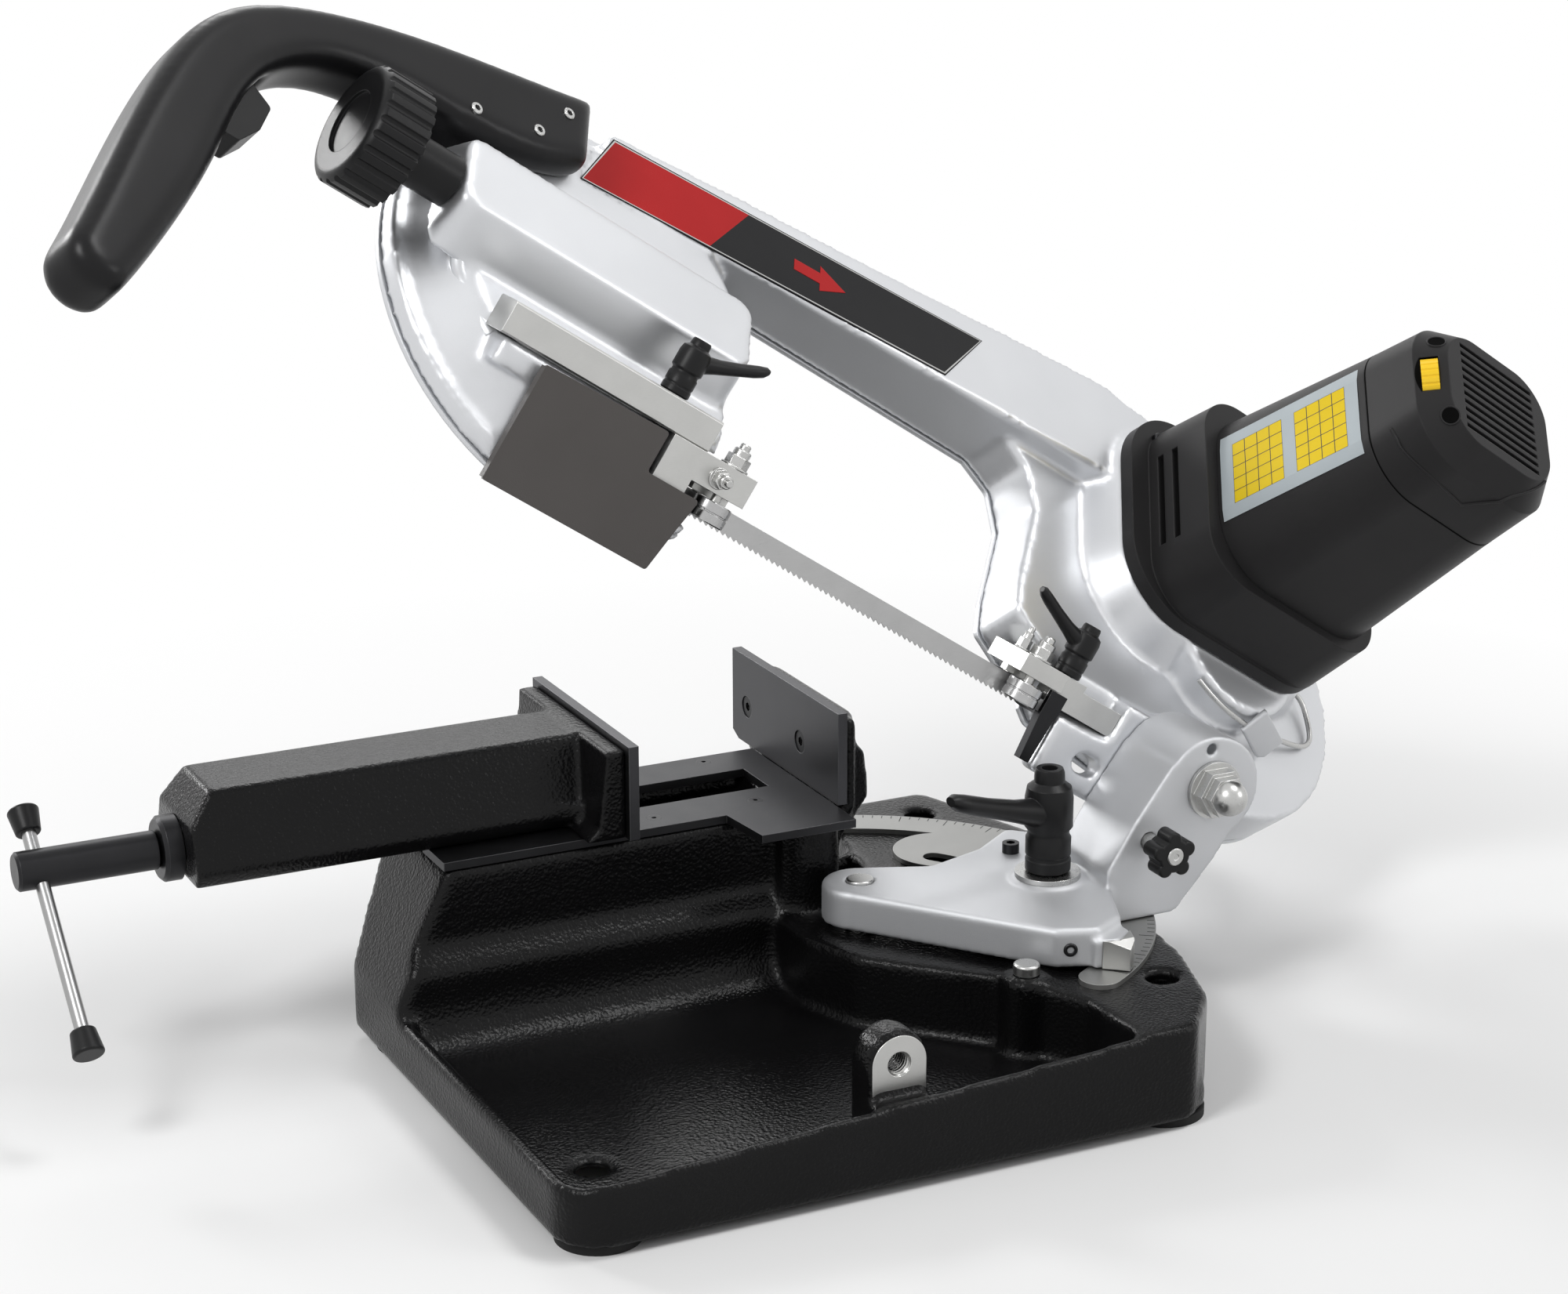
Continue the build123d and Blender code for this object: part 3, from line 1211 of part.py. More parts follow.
def right_guide_bar():
    bar = block(*BAR_RIGHT_X, *BAR_RIGHT_Y, *BAR_RIGHT_Z)
    bar += block(ROLLER_X_RIGHT - 14, BAR_RIGHT_X[0] + 6, -19, 19, 11, BAR_RIGHT_Z[1] + 4)
    bar += block(BAR_RIGHT_X[0] - 4, BAR_RIGHT_X[0] + 22, *BAR_RIGHT_Y, 11, BAR_RIGHT_Z[1] + 4)
    bar += block(ROLLER_X_RIGHT - 12, ROLLER_X_RIGHT + 10, -3, 3, 7.3, 12)
    stud_low = BAR_RIGHT_Z[0] + 2 - GAP
    bar -= rod_z(CLAMP_RIGHT_X, bar_middle(BAR_RIGHT_Y), stud_low, 60, GUIDE_STUD_R + FIT)
    return HEAD * (bar + roller_pins(ROLLER_X_RIGHT, -5, 12))


def chip_scraper():
    front = BAR_RIGHT_Y[0] - 3
    plate = prism_y([(-93, -4), (-90, -33), (-83, -33), (-82, -4)], front, front + 6)
    return HEAD * (plate + block(-93, -81, front, front + 3, -5, 10.5))


def parts():
    face = JAW_FACE_X
    moving = JAW_FACE_X - JAW_OPENING
    return {
        "base_casting": base_casting(),
        "rubber_feet": rubber_feet(),
        "table_plate": table_plate(),
        "table_screws": table_screws(),
        "fixed_jaw_plate": jaw_plate(face, 1),
        "fixed_jaw_screws": jaw_screws(face, 1),
        "vice_nut": vice_nut(),
        "scale_plate": scale_plate(),
        "stop_screw": stop_screw(),
        "swivel_bolt": swivel_bolt(),
        "vice_slide": vice_slide(),
        "moving_jaw_plate": jaw_plate(moving, -1),
        "moving_jaw_screws": jaw_screws(moving, -1),
        "vice_screw": vice_screw(),
        "thrust_collar": thrust_collar(),
        "tommy_bar": tommy_bar(),
        "tommy_caps": tommy_caps(),
        "swivel_arm": swivel_arm(),
        "arm_screws": arm_screws(),
        "scale_pointer": scale_pointer(),
        "arm_clamp_stud": arm_clamp_stud(),
        "arm_clamp_lever": arm_clamp_lever(),
        "lock_plunger": lock_plunger(),
        "lock_knob": lock_knob(),
        "pivot_pin": pivot_pin(),
        "pivot_nuts": pivot_nuts(),
        "return_spring": return_spring(),
        "bow_casting": bow_casting(),
        "rear_cover": rear_cover(),
        "saw_blade": saw_blade(),
        "drive_wheel": drive_wheel(),
        "drive_shaft": drive_shaft(),
        "drive_gear": drive_gear(),
        "motor_pinion": motor_pinion(),
        "gearbox_housing": gearbox_housing(),
        "motor_housing": motor_housing(),
        "motor_end_cap": motor_end_cap(),
        "speed_dial": speed_dial(),
        "idler_wheel": idler_wheel(),
        "idler_bearings": idler_bearings(),
        "idler_axle": idler_axle(),
        "tension_carriage": tension_carriage(),
        "tension_screw": tension_screw(),
        "tension_knob": tension_knob(),
        "handle_front_shell": handle_front_shell(),
        "handle_rear_shell": handle_rear_shell(),
        "trigger": trigger(),
        "left_guide_bar": left_guide_bar(),
        "left_guide_block": left_guide_block(),
        "blade_guard": blade_guard(),
        "left_clamp_lever": left_clamp_lever(),
        "left_front_roller": guide_roller(ROLLER_X_LEFT, -1),
        "left_rear_roller": guide_roller(ROLLER_X_LEFT, 1),
        "right_guide_bar": right_guide_bar(),
        "right_clamp_lever": right_clamp_lever(),
        "right_front_roller": guide_roller(ROLLER_X_RIGHT, -1),
        "right_rear_roller": guide_roller(ROLLER_X_RIGHT, 1),
        "chip_scraper": chip_scraper(),
    }


os.makedirs("parts", exist_ok=True)
for name, shape in parts().items():
    export_step(Pos(-CENTRE[0], -CENTRE[1], 0) * shape, f"parts/{name}.step")
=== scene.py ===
import bpy
import bmesh
import json
from math import pi, radians
from mathutils import Matrix, Vector
from mathutils.bvhtree import BVHTree


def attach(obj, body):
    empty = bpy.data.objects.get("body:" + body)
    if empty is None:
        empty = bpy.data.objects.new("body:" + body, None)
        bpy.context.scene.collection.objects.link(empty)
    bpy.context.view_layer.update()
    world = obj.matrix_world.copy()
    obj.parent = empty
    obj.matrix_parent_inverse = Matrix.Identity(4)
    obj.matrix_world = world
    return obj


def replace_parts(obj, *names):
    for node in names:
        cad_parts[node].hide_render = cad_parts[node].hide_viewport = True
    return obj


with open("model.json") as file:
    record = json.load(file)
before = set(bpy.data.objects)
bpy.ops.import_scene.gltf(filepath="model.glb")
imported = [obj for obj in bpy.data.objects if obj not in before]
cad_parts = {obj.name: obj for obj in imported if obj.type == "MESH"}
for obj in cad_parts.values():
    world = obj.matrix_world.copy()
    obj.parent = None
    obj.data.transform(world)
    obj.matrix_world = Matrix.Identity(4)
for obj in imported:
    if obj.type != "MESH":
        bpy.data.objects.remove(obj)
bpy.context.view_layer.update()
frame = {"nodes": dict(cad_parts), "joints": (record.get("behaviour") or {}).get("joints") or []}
nodes = frame["nodes"]
joints = {j["name"]: j for j in frame["joints"]}
mm = 0.001


# frames of the base, the head and the tilted bow, found from the joints:
# each takes a place in its own millimetres to the scene's metres
def axisOf(joint):
    return Vector(joints[joint]["axis"]).normalized()


def spotOf(joint):
    return Vector(joints[joint]["pos_m"])


def frameOf(origin, x, y, z):
    turn = Matrix((x, y, z)).transposed().to_4x4()
    return Matrix.Translation(origin) @ turn @ Matrix.Scale(mm, 4)


swivelSpot = Vector((65, 15, 63.5))  # the arm's swivel, in the base's millimetres
driveSpot = Vector((44, 88, 20))  # the drive wheel, in the bow's millimetres
headX, headY, headZ = axisOf("tension_slide"), axisOf("head_pivot"), axisOf("left_clamp")
bowN = axisOf("drive_spin")
bowV = bowN.cross(headX)
baseOrigin = spotOf("arm_swivel") - swivelSpot * mm
baseFrame = frameOf(baseOrigin, Vector((1, 0, 0)), Vector((0, 1, 0)), Vector((0, 0, 1)))
toDrive = headX * driveSpot.x + bowV * driveSpot.y + bowN * driveSpot.z
headOrigin = spotOf("drive_spin") - toDrive * mm
headFrame = frameOf(headOrigin, headX, headY, headZ)
bowFrame = frameOf(headOrigin, headX, bowV, bowN)


# one socket of a material's node tree, so that shader maths reads as sums
class Link:
    def __init__(self, tree, socket):
        self.tree = tree
        self.socket = socket

    def node(self, kind, settings, inputs, out=0):
        made = self.tree.nodes.new(kind)
        for key, value in settings.items():
            setattr(made, key, value)
        for key, value in inputs.items():
            if isinstance(value, Link):
                self.tree.links.new(value.socket, made.inputs[key])
            else:
                made.inputs[key].default_value = value
        return Link(self.tree, made.outputs[out])

    def sum(self, operation, a, b):
        return self.node("ShaderNodeMath", {"operation": operation}, {0: a, 1: b})

    def __add__(self, other):
        return self.sum("ADD", self, other)

    def __sub__(self, other):
        return self.sum("SUBTRACT", self, other)

    def __mul__(self, other):
        return self.sum("MULTIPLY", self, other)

    def __rsub__(self, other):
        return self.sum("SUBTRACT", other, self)

    __radd__ = __add__
    __rmul__ = __mul__

    def clamp(self):
        return self.node("ShaderNodeClamp", {}, {"Value": self})

    def noise(self, scale, detail=2, rough=0.5):
        inputs = {"Vector": self, "Scale": scale, "Detail": detail, "Roughness": rough}
        return self.node("ShaderNodeTexNoise", {}, inputs)

    def cells(self, scale):
        inputs = {"Vector": self, "Scale": scale}
        return self.node("ShaderNodeTexVoronoi", {"feature": "SMOOTH_F1"}, inputs)

    def mix(self, low, high):
        inputs = {"Factor": self, 6: low, 7: high}  # 6 and 7 are the two colours
        return self.node("ShaderNodeMix", {"data_type": "RGBA"}, inputs, 2)

    def bump(self, strength, distance, normal):
        inputs = {"Height": self, "Strength": strength, "Distance": distance, "Normal": normal}
        return self.node("ShaderNodeBump", {}, inputs)


def newFinish(name, **fixed):
    mat = bpy.data.materials.new(name)
    mat.use_nodes = True
    tree = mat.node_tree
    shader = tree.nodes["Principled BSDF"]
    for key, value in fixed.items():
        shader.inputs[key.replace("_", " ")].default_value = value
    coords = Link(tree, tree.nodes.new("ShaderNodeTexCoord").outputs["Object"])

    def feed(**links):
        for key, link in links.items():
            tree.links.new(link.socket, shader.inputs[key.replace("_", " ")])
        return mat
    return coords, feed


def rgb(r, g, b):
    return (r, g, b, 1)


softEdges = {"samples": 6, "wear": 6}


# rounds what the light sees of an edge and gives a mask of the edges that rub bare
def softEdge(coords, radius):
    settings = {"samples": softEdges["samples"]}
    normal = coords.node("ShaderNodeBevel", settings, {"Radius": radius * mm})
    flat = coords.node("ShaderNodeNewGeometry", {}, {}, "Normal")
    inputs = {0: normal, 1: flat}
    facing = coords.node("ShaderNodeVectorMath", {"operation": "DOT_PRODUCT"}, inputs, "Value")
    return normal, ((1 - facing) * softEdges["wear"]).clamp()


hammerPaint = {"shade": rgb(0.0035, 0.0034, 0.0036), "dust": rgb(0.007, 0.007, 0.0075),
               "gloss": 0.16, "rough": 0.12, "cell": 560, "fine": 1300, "patch": 22,
               "depth": 0.00042}


# thick enamel on the base, dimpled like hammered metal
def makeHammerPaint(name, edge):
    paint = hammerPaint
    c, feed = newFinish(name, Specular_IOR_Level=paint["gloss"])
    normal, worn = softEdge(c, edge)
    skin = c.cells(paint["cell"]) * 0.8 + c.noise(paint["fine"], 3) * 0.35
    patch = c.noise(paint["patch"], 3)
    return feed(
        Base_Color=(patch * 0.6 + worn * 0.2).mix(paint["shade"], paint["dust"]),
        Roughness=patch * 0.08 + paint["rough"],
        Normal=skin.bump(1.0, paint["depth"], normal))


silverPaint = {"shade": (0.6, 0.61, 0.63), "pale": (0.74, 0.75, 0.77), "gloss": 0.5,
               "grain": 2000, "patch": 14, "wave": 420, "depth": 0.0003}


# metallic paint on the bow, its cover and the arm
def makeSilverPaint(name, edge, metal, rough, strength, tone=1.0):
    paint = silverPaint
    c, feed = newFinish(name, Metallic=metal, Specular_IOR_Level=paint["gloss"])
    normal = softEdge(c, edge)[0]
    speck = c.noise(paint["grain"], 2, 0.7)
    patch = c.noise(paint["patch"], 3)
    skin = speck + c.noise(paint["wave"], 3) * 0.5
    shade, pale = (rgb(*(v * tone for v in paint[k])) for k in ("shade", "pale"))
    return feed(
        Base_Color=(patch * 0.6 + speck * 0.4).mix(shade, pale),
        Roughness=speck * 0.14 + patch * 0.08 + (rough - 0.1),
        Normal=skin.bump(strength, paint["depth"], normal))


steelSkin = {"line": 900, "stain": 60, "depth": 0.0002}


# ground or drawn steel: fine lines across one axis, a few darker stains
def makeSteel(name, shade, rough, lines=(1, 1, 1), edge=0.4, strength=0.12):
    c, feed = newFinish(name, Metallic=1.0)
    normal, worn = softEdge(c, edge)
    stretched = c.node("ShaderNodeMapping", {}, {"Vector": c, "Scale": lines})
    line = stretched.noise(steelSkin["line"], 3, 0.6)
    stain = c.noise(steelSkin["stain"], 4)
    dark = rgb(*(v * 0.72 for v in shade))
    pale = rgb(*(min(1, v * 1.25 + 0.04) for v in shade))
    tone = (stain * 0.55 + line * 0.45).mix(dark, rgb(*shade))
    return feed(
        Base_Color=worn.mix(tone, pale),
        Roughness=line * 0.12 + stain * 0.1 + (rough - 0.1),
        Normal=line.bump(strength, steelSkin["depth"], normal))


plasticSkin = {"patch": 18, "depth": 0.00025}


# moulded plastic with a fine skin, and the smooth faces of strip and plate
def makePlastic(name, shade, rough, skin, edge, strength, gloss=0.24):
    c, feed = newFinish(name, Specular_IOR_Level=gloss)
    normal, worn = softEdge(c, edge)
    fine = c.noise(skin, 2, 0.65)
    patch = c.noise(plasticSkin["patch"], 3)
    pale = rgb(*(v * 1.5 + 0.012 for v in shade))
    return feed(
        Base_Color=(patch * 0.45 + worn * 0.4).mix(rgb(*shade), pale),
        Roughness=fine * 0.12 + patch * 0.08 + (rough - 0.1),
        Normal=fine.bump(strength, plasticSkin["depth"], normal))


hammers = {"basePaint": (2.5,)}  # edge
# edge, metal, roughness, strength of the grain, tone
silvers = {
    "bowPaint": (2.5, 0.72, 0.36, 0.1),
    "armPaint": (2.0, 0.66, 0.5, 0.3, 0.84),
    "coverPaint": (1.5, 0.7, 0.4, 0.12),
}
# shade, roughness, stretch of the lines, edge, strength of the lines
steels = {
    "jawSteel": ((0.075, 0.075, 0.08), 0.38, (0.3, 8, 1), 0.6),
    "tableSteel": ((0.05, 0.05, 0.053), 0.42, (8, 0.3, 1), 0.5),
    "zincSteel": ((0.56, 0.56, 0.55), 0.28, (1, 1, 1), 0.4, 0.04),
    "barSteel": ((0.42, 0.42, 0.42), 0.3, (1, 6, 1), 0.3),
    "blackSteel": ((0.035, 0.035, 0.037), 0.36, (6, 1, 1), 0.4),
    "alloyBar": ((0.6, 0.6, 0.585), 0.34, (0.4, 6, 6), 0.5),
    "bladeSteel": ((0.5, 0.5, 0.5), 0.3, (0.2, 5, 5), 0.15),
    "scaleSteel": ((0.36, 0.36, 0.35), 0.4, (1, 1, 4), 0.3),
    "springSteel": ((0.3, 0.3, 0.31), 0.35),
    "bearingSteel": ((0.5, 0.5, 0.5), 0.2, (1, 1, 1), 0.3),
}
# shade, roughness, grain, edge, strength of the grain, gloss
plastics = {
    "guardPaint": ((0.075, 0.069, 0.066), 0.4, 1500, 0.5, 0.2),
    "motorPlastic": ((0.0145, 0.014, 0.0145), 0.44, 2600, 1.2, 0.25, 0.14),
    "handlePlastic": ((0.006, 0.0058, 0.0065), 0.3, 3000, 1.5, 0.14, 0.18),
    "leverPlastic": ((0.006, 0.006, 0.0065), 0.36, 2800, 0.8, 0.2, 0.2),
    "footRubber": ((0.012, 0.012, 0.012), 0.75, 1800, 1.0, 0.3),
    # near-black: painted shade in the screw wells and the dial window, and the real dark joint
    # round the motor
    "wellDark": ((0.0012, 0.0012, 0.0012), 0.8, 3000, 0.1, 0.03, 0.02),
    "ink": ((0.015, 0.015, 0.016), 0.5, 3000, 0.1, 0.05),
    "labelPale": ((0.37, 0.41, 0.43), 0.4, 3000, 0.1, 0.03, 0.12),
    "labelYellow": ((0.66, 0.47, 0.004), 0.4, 3000, 0.1, 0.03, 0.1),
    "stripBlack": ((0.008, 0.008, 0.009), 0.22, 3000, 0.2, 0.03, 0.15),
    "stripRed": ((0.4, 0.008, 0.009), 0.25, 3000, 0.2, 0.03, 0.15),
    "dialPlastic": ((0.86, 0.56, 0.02), 0.35, 2600, 0.4, 0.08),
}
finishes = {}
for make, kinds in ((makeHammerPaint, hammers), (makeSilverPaint, silvers),
                    (makeSteel, steels), (makePlastic, plastics)):
    for name, values in kinds.items():
        finishes[name] = make(name, *values)
print("finishes", len(finishes))

nodeFinish = {
    "basePaint": ["base_casting", "vice_slide"],
    "footRubber": ["rubber_feet"],
    "tableSteel": ["table_plate"],
    "jawSteel": ["fixed_jaw_plate", "moving_jaw_plate"],
    "zincSteel": ["stop_screw", "swivel_bolt", "arm_clamp_stud", "lock_plunger", "pivot_pin",
                  "pivot_nuts", "drive_shaft", "idler_axle", "tension_screw", "vice_nut"],
    "barSteel": ["tommy_bar"],
    "scaleSteel": ["scale_plate"],
    "blackSteel": ["table_screws", "vice_screw", "thrust_collar", "arm_screws", "chip_scraper",
                   "fixed_jaw_screws", "moving_jaw_screws"],
    "armPaint": ["swivel_arm"],
    "bowPaint": ["bow_casting"],
    "coverPaint": ["rear_cover"],
    "alloyBar": ["scale_pointer", "left_guide_bar", "left_guide_block", "right_guide_bar",
                 "tension_carriage", "drive_wheel", "idler_wheel"],
    "motorPlastic": ["gearbox_housing", "motor_housing", "motor_end_cap"],
    "handlePlastic": ["handle_front_shell", "handle_rear_shell"],
    "leverPlastic": ["tommy_caps", "arm_clamp_lever", "lock_knob", "tension_knob",
                     "left_clamp_lever", "right_clamp_lever", "trigger"],
    "dialPlastic": ["speed_dial"],
    "guardPaint": ["blade_guard"],
    "bladeSteel": ["saw_blade"],
    "springSteel": ["return_spring", "idler_bearings", "drive_gear", "motor_pinion",
                    "left_front_roller", "left_rear_roller", "right_front_roller",
                    "right_rear_roller"],
}
for finish, names in nodeFinish.items():
    for name in names:
        nodes[name].data.materials.clear()
        nodes[name].data.materials.append(finishes[finish])
print("nodes dressed", sum(len(v) for v in nodeFinish.values()), "of", len(nodes))


def addObject(name, data):
    made = bpy.data.objects.new(name, data)
    bpy.context.scene.collection.objects.link(made)
    return made


# makes a finished piece of a bmesh built in millimetres, and hangs it on its body
def addPiece(name, bm, place, finish, body, smooth=35):
    bmesh.ops.remove_doubles(bm, verts=bm.verts, dist=1e-4)
    bmesh.ops.recalc_face_normals(bm, faces=bm.faces)
    bmesh.ops.transform(bm, matrix=place, verts=bm.verts)
    mesh = bpy.data.meshes.new(name)
    bm.to_mesh(mesh)
    bm.free()
    for look in finish if isinstance(finish, tuple) else (finish,):
        mesh.materials.append(finishes[look])
    mesh.shade_smooth()
    mesh.set_sharp_from_angle(angle=radians(smooth))
    piece = addObject(name, mesh)
    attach(piece, body)
    return piece


# a place on one of the frames, its Z along `up`
def spotOn(base, x, y, z, up=(0, 0, 1), spin=0):
    turn = Vector((0, 0, 1)).rotation_difference(Vector(up)).to_matrix().to_4x4()
    return base @ Matrix.Translation((x, y, z)) @ turn @ Matrix.Rotation(radians(spin), 4, "Z")


# steps round each kind of turned piece
roundSteps = {"hub": 48, "stud": 24, "roller": 48, "washer": 36, "crown": 24, "pin": 24,
              "screw": 28, "lug": 56, "thread": 48, "well": 36, "star": 32}


# a profile of radius and height, spun about Z
def turned(bm, profile, steps):
    verts = [bm.verts.new((r, 0, z)) for r, z in profile]
    edges = [bm.edges.new(pair) for pair in zip(verts, verts[1:])]
    bmesh.ops.spin(bm, geom=verts + edges, cent=(0, 0, 0), axis=(0, 0, 1), angle=2 * pi,
                   steps=steps, use_merge=True)


# pulls flat faces up into a block and gives the vertices of its top
def raised(bm, faces, rise):
    up = bmesh.ops.extrude_face_region(bm, geom=faces)["geom"]
    top = [g for g in up if isinstance(g, bmesh.types.BMVert)]
    bmesh.ops.translate(bm, verts=top, vec=(0, 0, rise))
    return top


def roundRim(bm, top, offset, segments):
    rim = [e for e in bm.edges if all(v in top for v in e.verts)]
    bmesh.ops.bevel(bm, geom=rim, offset=offset, segments=segments, profile=0.5,
                    affect="EDGES", material=-1)


def slab(bm, points, low, high, round=0.0):
    face = bm.faces.new([bm.verts.new((x, y, low)) for x, y in points])
    top = raised(bm, [face], high - low)
    if round:
        roundRim(bm, top, round, 3)


# hexagon with its corners turned off, from low to high
def hexHead(bm, flats, low, high):
    corner = flats / 1.732
    ring = bmesh.ops.create_circle(bm, cap_ends=True, segments=6, radius=corner)["verts"]
    bmesh.ops.translate(bm, verts=ring, vec=(0, 0, low))
    top = raised(bm, list(ring[0].link_faces), high - low)
    roundRim(bm, top, flats * 0.05, 2)


# cast and moulded skins without a sharp edge: a merged copy of the nodes is remeshed and smoothed
castings = {
    "castBase": {"nodes": ["base_casting"], "voxel": 2.6, "rounds": 14,
                 "finish": "basePaint", "body": "base", "slot": "base_paint"},
    "castSlide": {"nodes": ["vice_slide"], "voxel": 1.5, "rounds": 8,
                  "finish": "basePaint", "body": "sliding_jaw", "slot": "base_paint"},
    "castBow": {"nodes": ["bow_casting"], "voxel": 2.4, "rounds": 7,
                "finish": "bowPaint", "body": "head", "slot": "silver_casting"},
    "gripBody": {"nodes": ["handle_front_shell", "handle_rear_shell"], "voxel": 1.8, "rounds": 30,
                 "finish": "handlePlastic", "body": "head", "slot": "lever_plastic"},
    "castArm": {"nodes": ["swivel_arm"], "voxel": 1.3, "rounds": 6,
                "finish": "armPaint", "body": "arm", "slot": "silver_casting"},
}
mostTriangles = 190000


def meshOf(piece):
    deps = bpy.context.evaluated_depsgraph_get()
    mesh = bpy.data.meshes.new_from_object(piece.evaluated_get(deps))
    mesh.calc_loop_triangles()
    return mesh


def castCopy(name, cast):
    bm = bmesh.new()
    for node in cast["nodes"]:
        bm.from_mesh(nodes[node].data)
    bmesh.ops.remove_doubles(bm, verts=bm.verts, dist=1e-5)
    rough = bpy.data.meshes.new(name + "Rough")
    bm.to_mesh(rough)
    bm.free()
    piece = addObject(name, rough)
    remesh = piece.modifiers.new("skin", "REMESH")
    remesh.mode = "VOXEL"
    remesh.voxel_size = cast["voxel"] * mm
    soft = piece.modifiers.new("soft", "SMOOTH")
    soft.factor = 0.5
    soft.iterations = cast["rounds"]
    thin = piece.modifiers.new("thin", "DECIMATE")
    thin.use_collapse_triangulate = True
    thin.ratio = 1.0
    count = len(meshOf(piece).loop_triangles)
    thin.ratio = min(1.0, mostTriangles / max(count, 1))
    mesh = meshOf(piece)
    piece.data = mesh
    piece.modifiers.clear()
    mesh.materials.clear()
    mesh.materials.append(finishes[cast["finish"]])
    mesh.shade_smooth()
    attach(piece, cast["body"])
    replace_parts(piece, *cast["nodes"])
    print(name, count, "to", len(mesh.polygons))


for name, cast in castings.items():
    castCopy(name, cast)


# clamp levers: a turned hub with a tapering arm towards -X
levers = {
    "armLever": {"node": "arm_clamp_lever", "body": "clamp_lever", "spin": 15,
                 "place": (baseFrame, 163.12, -30.13, 91.3),
                 "hub": 14, "height": 62, "reach": 78, "rise": 34, "stud": 0},
    "leftLever": {"node": "left_clamp_lever", "body": "left_lever", "spin": 180,
                  "place": (headFrame, -395, -7, 46.3),
                  "hub": 9, "height": 32, "reach": 44, "rise": 22, "stud": 28},
    "rightLever": {"node": "right_clamp_lever", "body": "right_lever", "spin": 0,
                   "place": (headFrame, -84, -9.5, 22.3),
                   "hub": 9, "height": 32, "reach": 44, "rise": 22, "stud": 17},
}
# radius and height, as shares of the hub's own
hubProfile = [(0.3, 0), (0.84, 0), (0.94, 0.02), (0.94, 0.12), (0.9, 0.13), (0.9, 0.16),
              (0.94, 0.17), (0.94, 0.33), (0.86, 0.36), (0.86, 0.4), (1.0, 0.44), (1.0, 0.72),
              (0.92, 0.82), (0.64, 0.87), (0.62, 0.96), (0.55, 1.0), (0.34, 1.0), (0.31, 0.93),
              (0, 0.93)]
# place along the arm, half its height and width, as shares of the reach and the hub
armSections = [(0.0, 0.6, 0.66), (0.16, 0.62, 0.62), (0.34, 0.5, 0.5), (0.6, 0.44, 0.46),
               (0.84, 0.42, 0.5), (0.95, 0.36, 0.44), (1.0, 0.2, 0.26)]
leverArm = {"level": 0.42, "sink": 0.6, "curl": 1.15, "sides": 20, "studRadius": 4}


def addLever(name, lever):
    bm = bmesh.new()
    hub, height = lever["hub"], lever["height"]
    turned(bm, [(r * hub, z * height) for r, z in hubProfile], roundSteps["hub"])
    low = leverArm["level"] * height + leverArm["sink"] * hub
    high = leverArm["level"] * height + lever["rise"]
    lean = Matrix.Rotation(radians(-90), 4, "Y")
    sides = leverArm["sides"]
    last = None
    for along, tall, wide in armSections:
        closed = along in (0.0, 1.0)
        ring = bmesh.ops.create_circle(bm, cap_ends=closed, segments=sides, radius=1)["verts"]
        bmesh.ops.scale(bm, vec=(tall * hub, wide * hub, 1), verts=ring)
        spot = (-along * lever["reach"], 0, low + (high - low) * along ** leverArm["curl"])
        bmesh.ops.transform(bm, matrix=Matrix.Translation(spot) @ lean, verts=ring)
        edges = [e for e in bm.edges if all(v in ring for v in e.verts)]
        if last:
            bmesh.ops.bridge_loops(bm, edges=last + edges)
        last = edges
    if lever["stud"]:
        r, foot = leverArm["studRadius"], 1 - lever["stud"]
        turned(bm, [(0, 1), (r, 1), (r, foot), (0, foot)], roundSteps["stud"])
    place = spotOn(*lever["place"], spin=lever["spin"])
    piece = addPiece(name, bm, place, "leverPlastic", lever["body"], 40)
    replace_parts(piece, lever["node"])


for name, lever in levers.items():
    addLever(name, lever)
print("levers", len(levers))


# guide bearings: two races with a recessed shield between them, and a groove round the outer one
rollers = {
    "x": {"left": -343, "right": -106},
    "y": {"front": -11.6, "rear": 11.6},
    "profile": [(3.1, -5), (6, -5), (6.3, -4.5), (8.1, -4.5), (8.4, -5), (10.4, -5), (11, -4.4),
                (11, 0.4), (10.5, 0.7), (10.5, 1.3), (11, 1.6), (11, 6.4), (10.4, 7), (8.4, 7),
                (8.1, 6.5), (6.3, 6.5), (6, 7), (3.1, 7), (3.1, -5)],
}
for side, x in rollers["x"].items():
    for row, y in rollers["y"].items():
        bm = bmesh.new()
        turned(bm, rollers["profile"], roundSteps["roller"])
        body = side + "_" + row + "_roller"
        name = side + row.title() + "Bearing"
        place = spotOn(headFrame, x, y, 0)
        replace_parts(addPiece(name, bm, place, "bearingSteel", body), body)


# castle nut and washer on a bearing pin: radii as shares of the width across flats
castle = {"washer": [(0, 0), (0.66, 0), (0.68, 0.3), (0.68, 1.1), (0.64, 1.4), (0, 1.4)],
          "low": 1.4, "high": 7,
          "crown": [(0, 7), (0.42, 7), (0.42, 10.4), (0.36, 11), (0.27, 11), (0, 11)],
          "pin": [(0, 11), (0.26, 11), (0.26, 13.6), (0.2, 14.4), (0, 14.4)]}
guideNuts = {
    "leftGuideNut": {"body": "left_guide", "flats": 12,
                     "spot": (-343, -11.6, 28), "up": (0, 0, 1)},
    "rightGuideNut": {"body": "right_guide", "flats": 12,
                      "spot": (-107, -11.6, 22), "up": (0, 0, 1)},
    "rightGuideBolt": {"body": "right_guide", "flats": 7,
                       "spot": (-116.2, -4, 22), "up": (0, 0, 1)},
    "leftGuideBolt": {"body": "left_guide", "flats": 9,
                      "spot": (-352, -19, 19), "up": (0, -1, 0)},
}


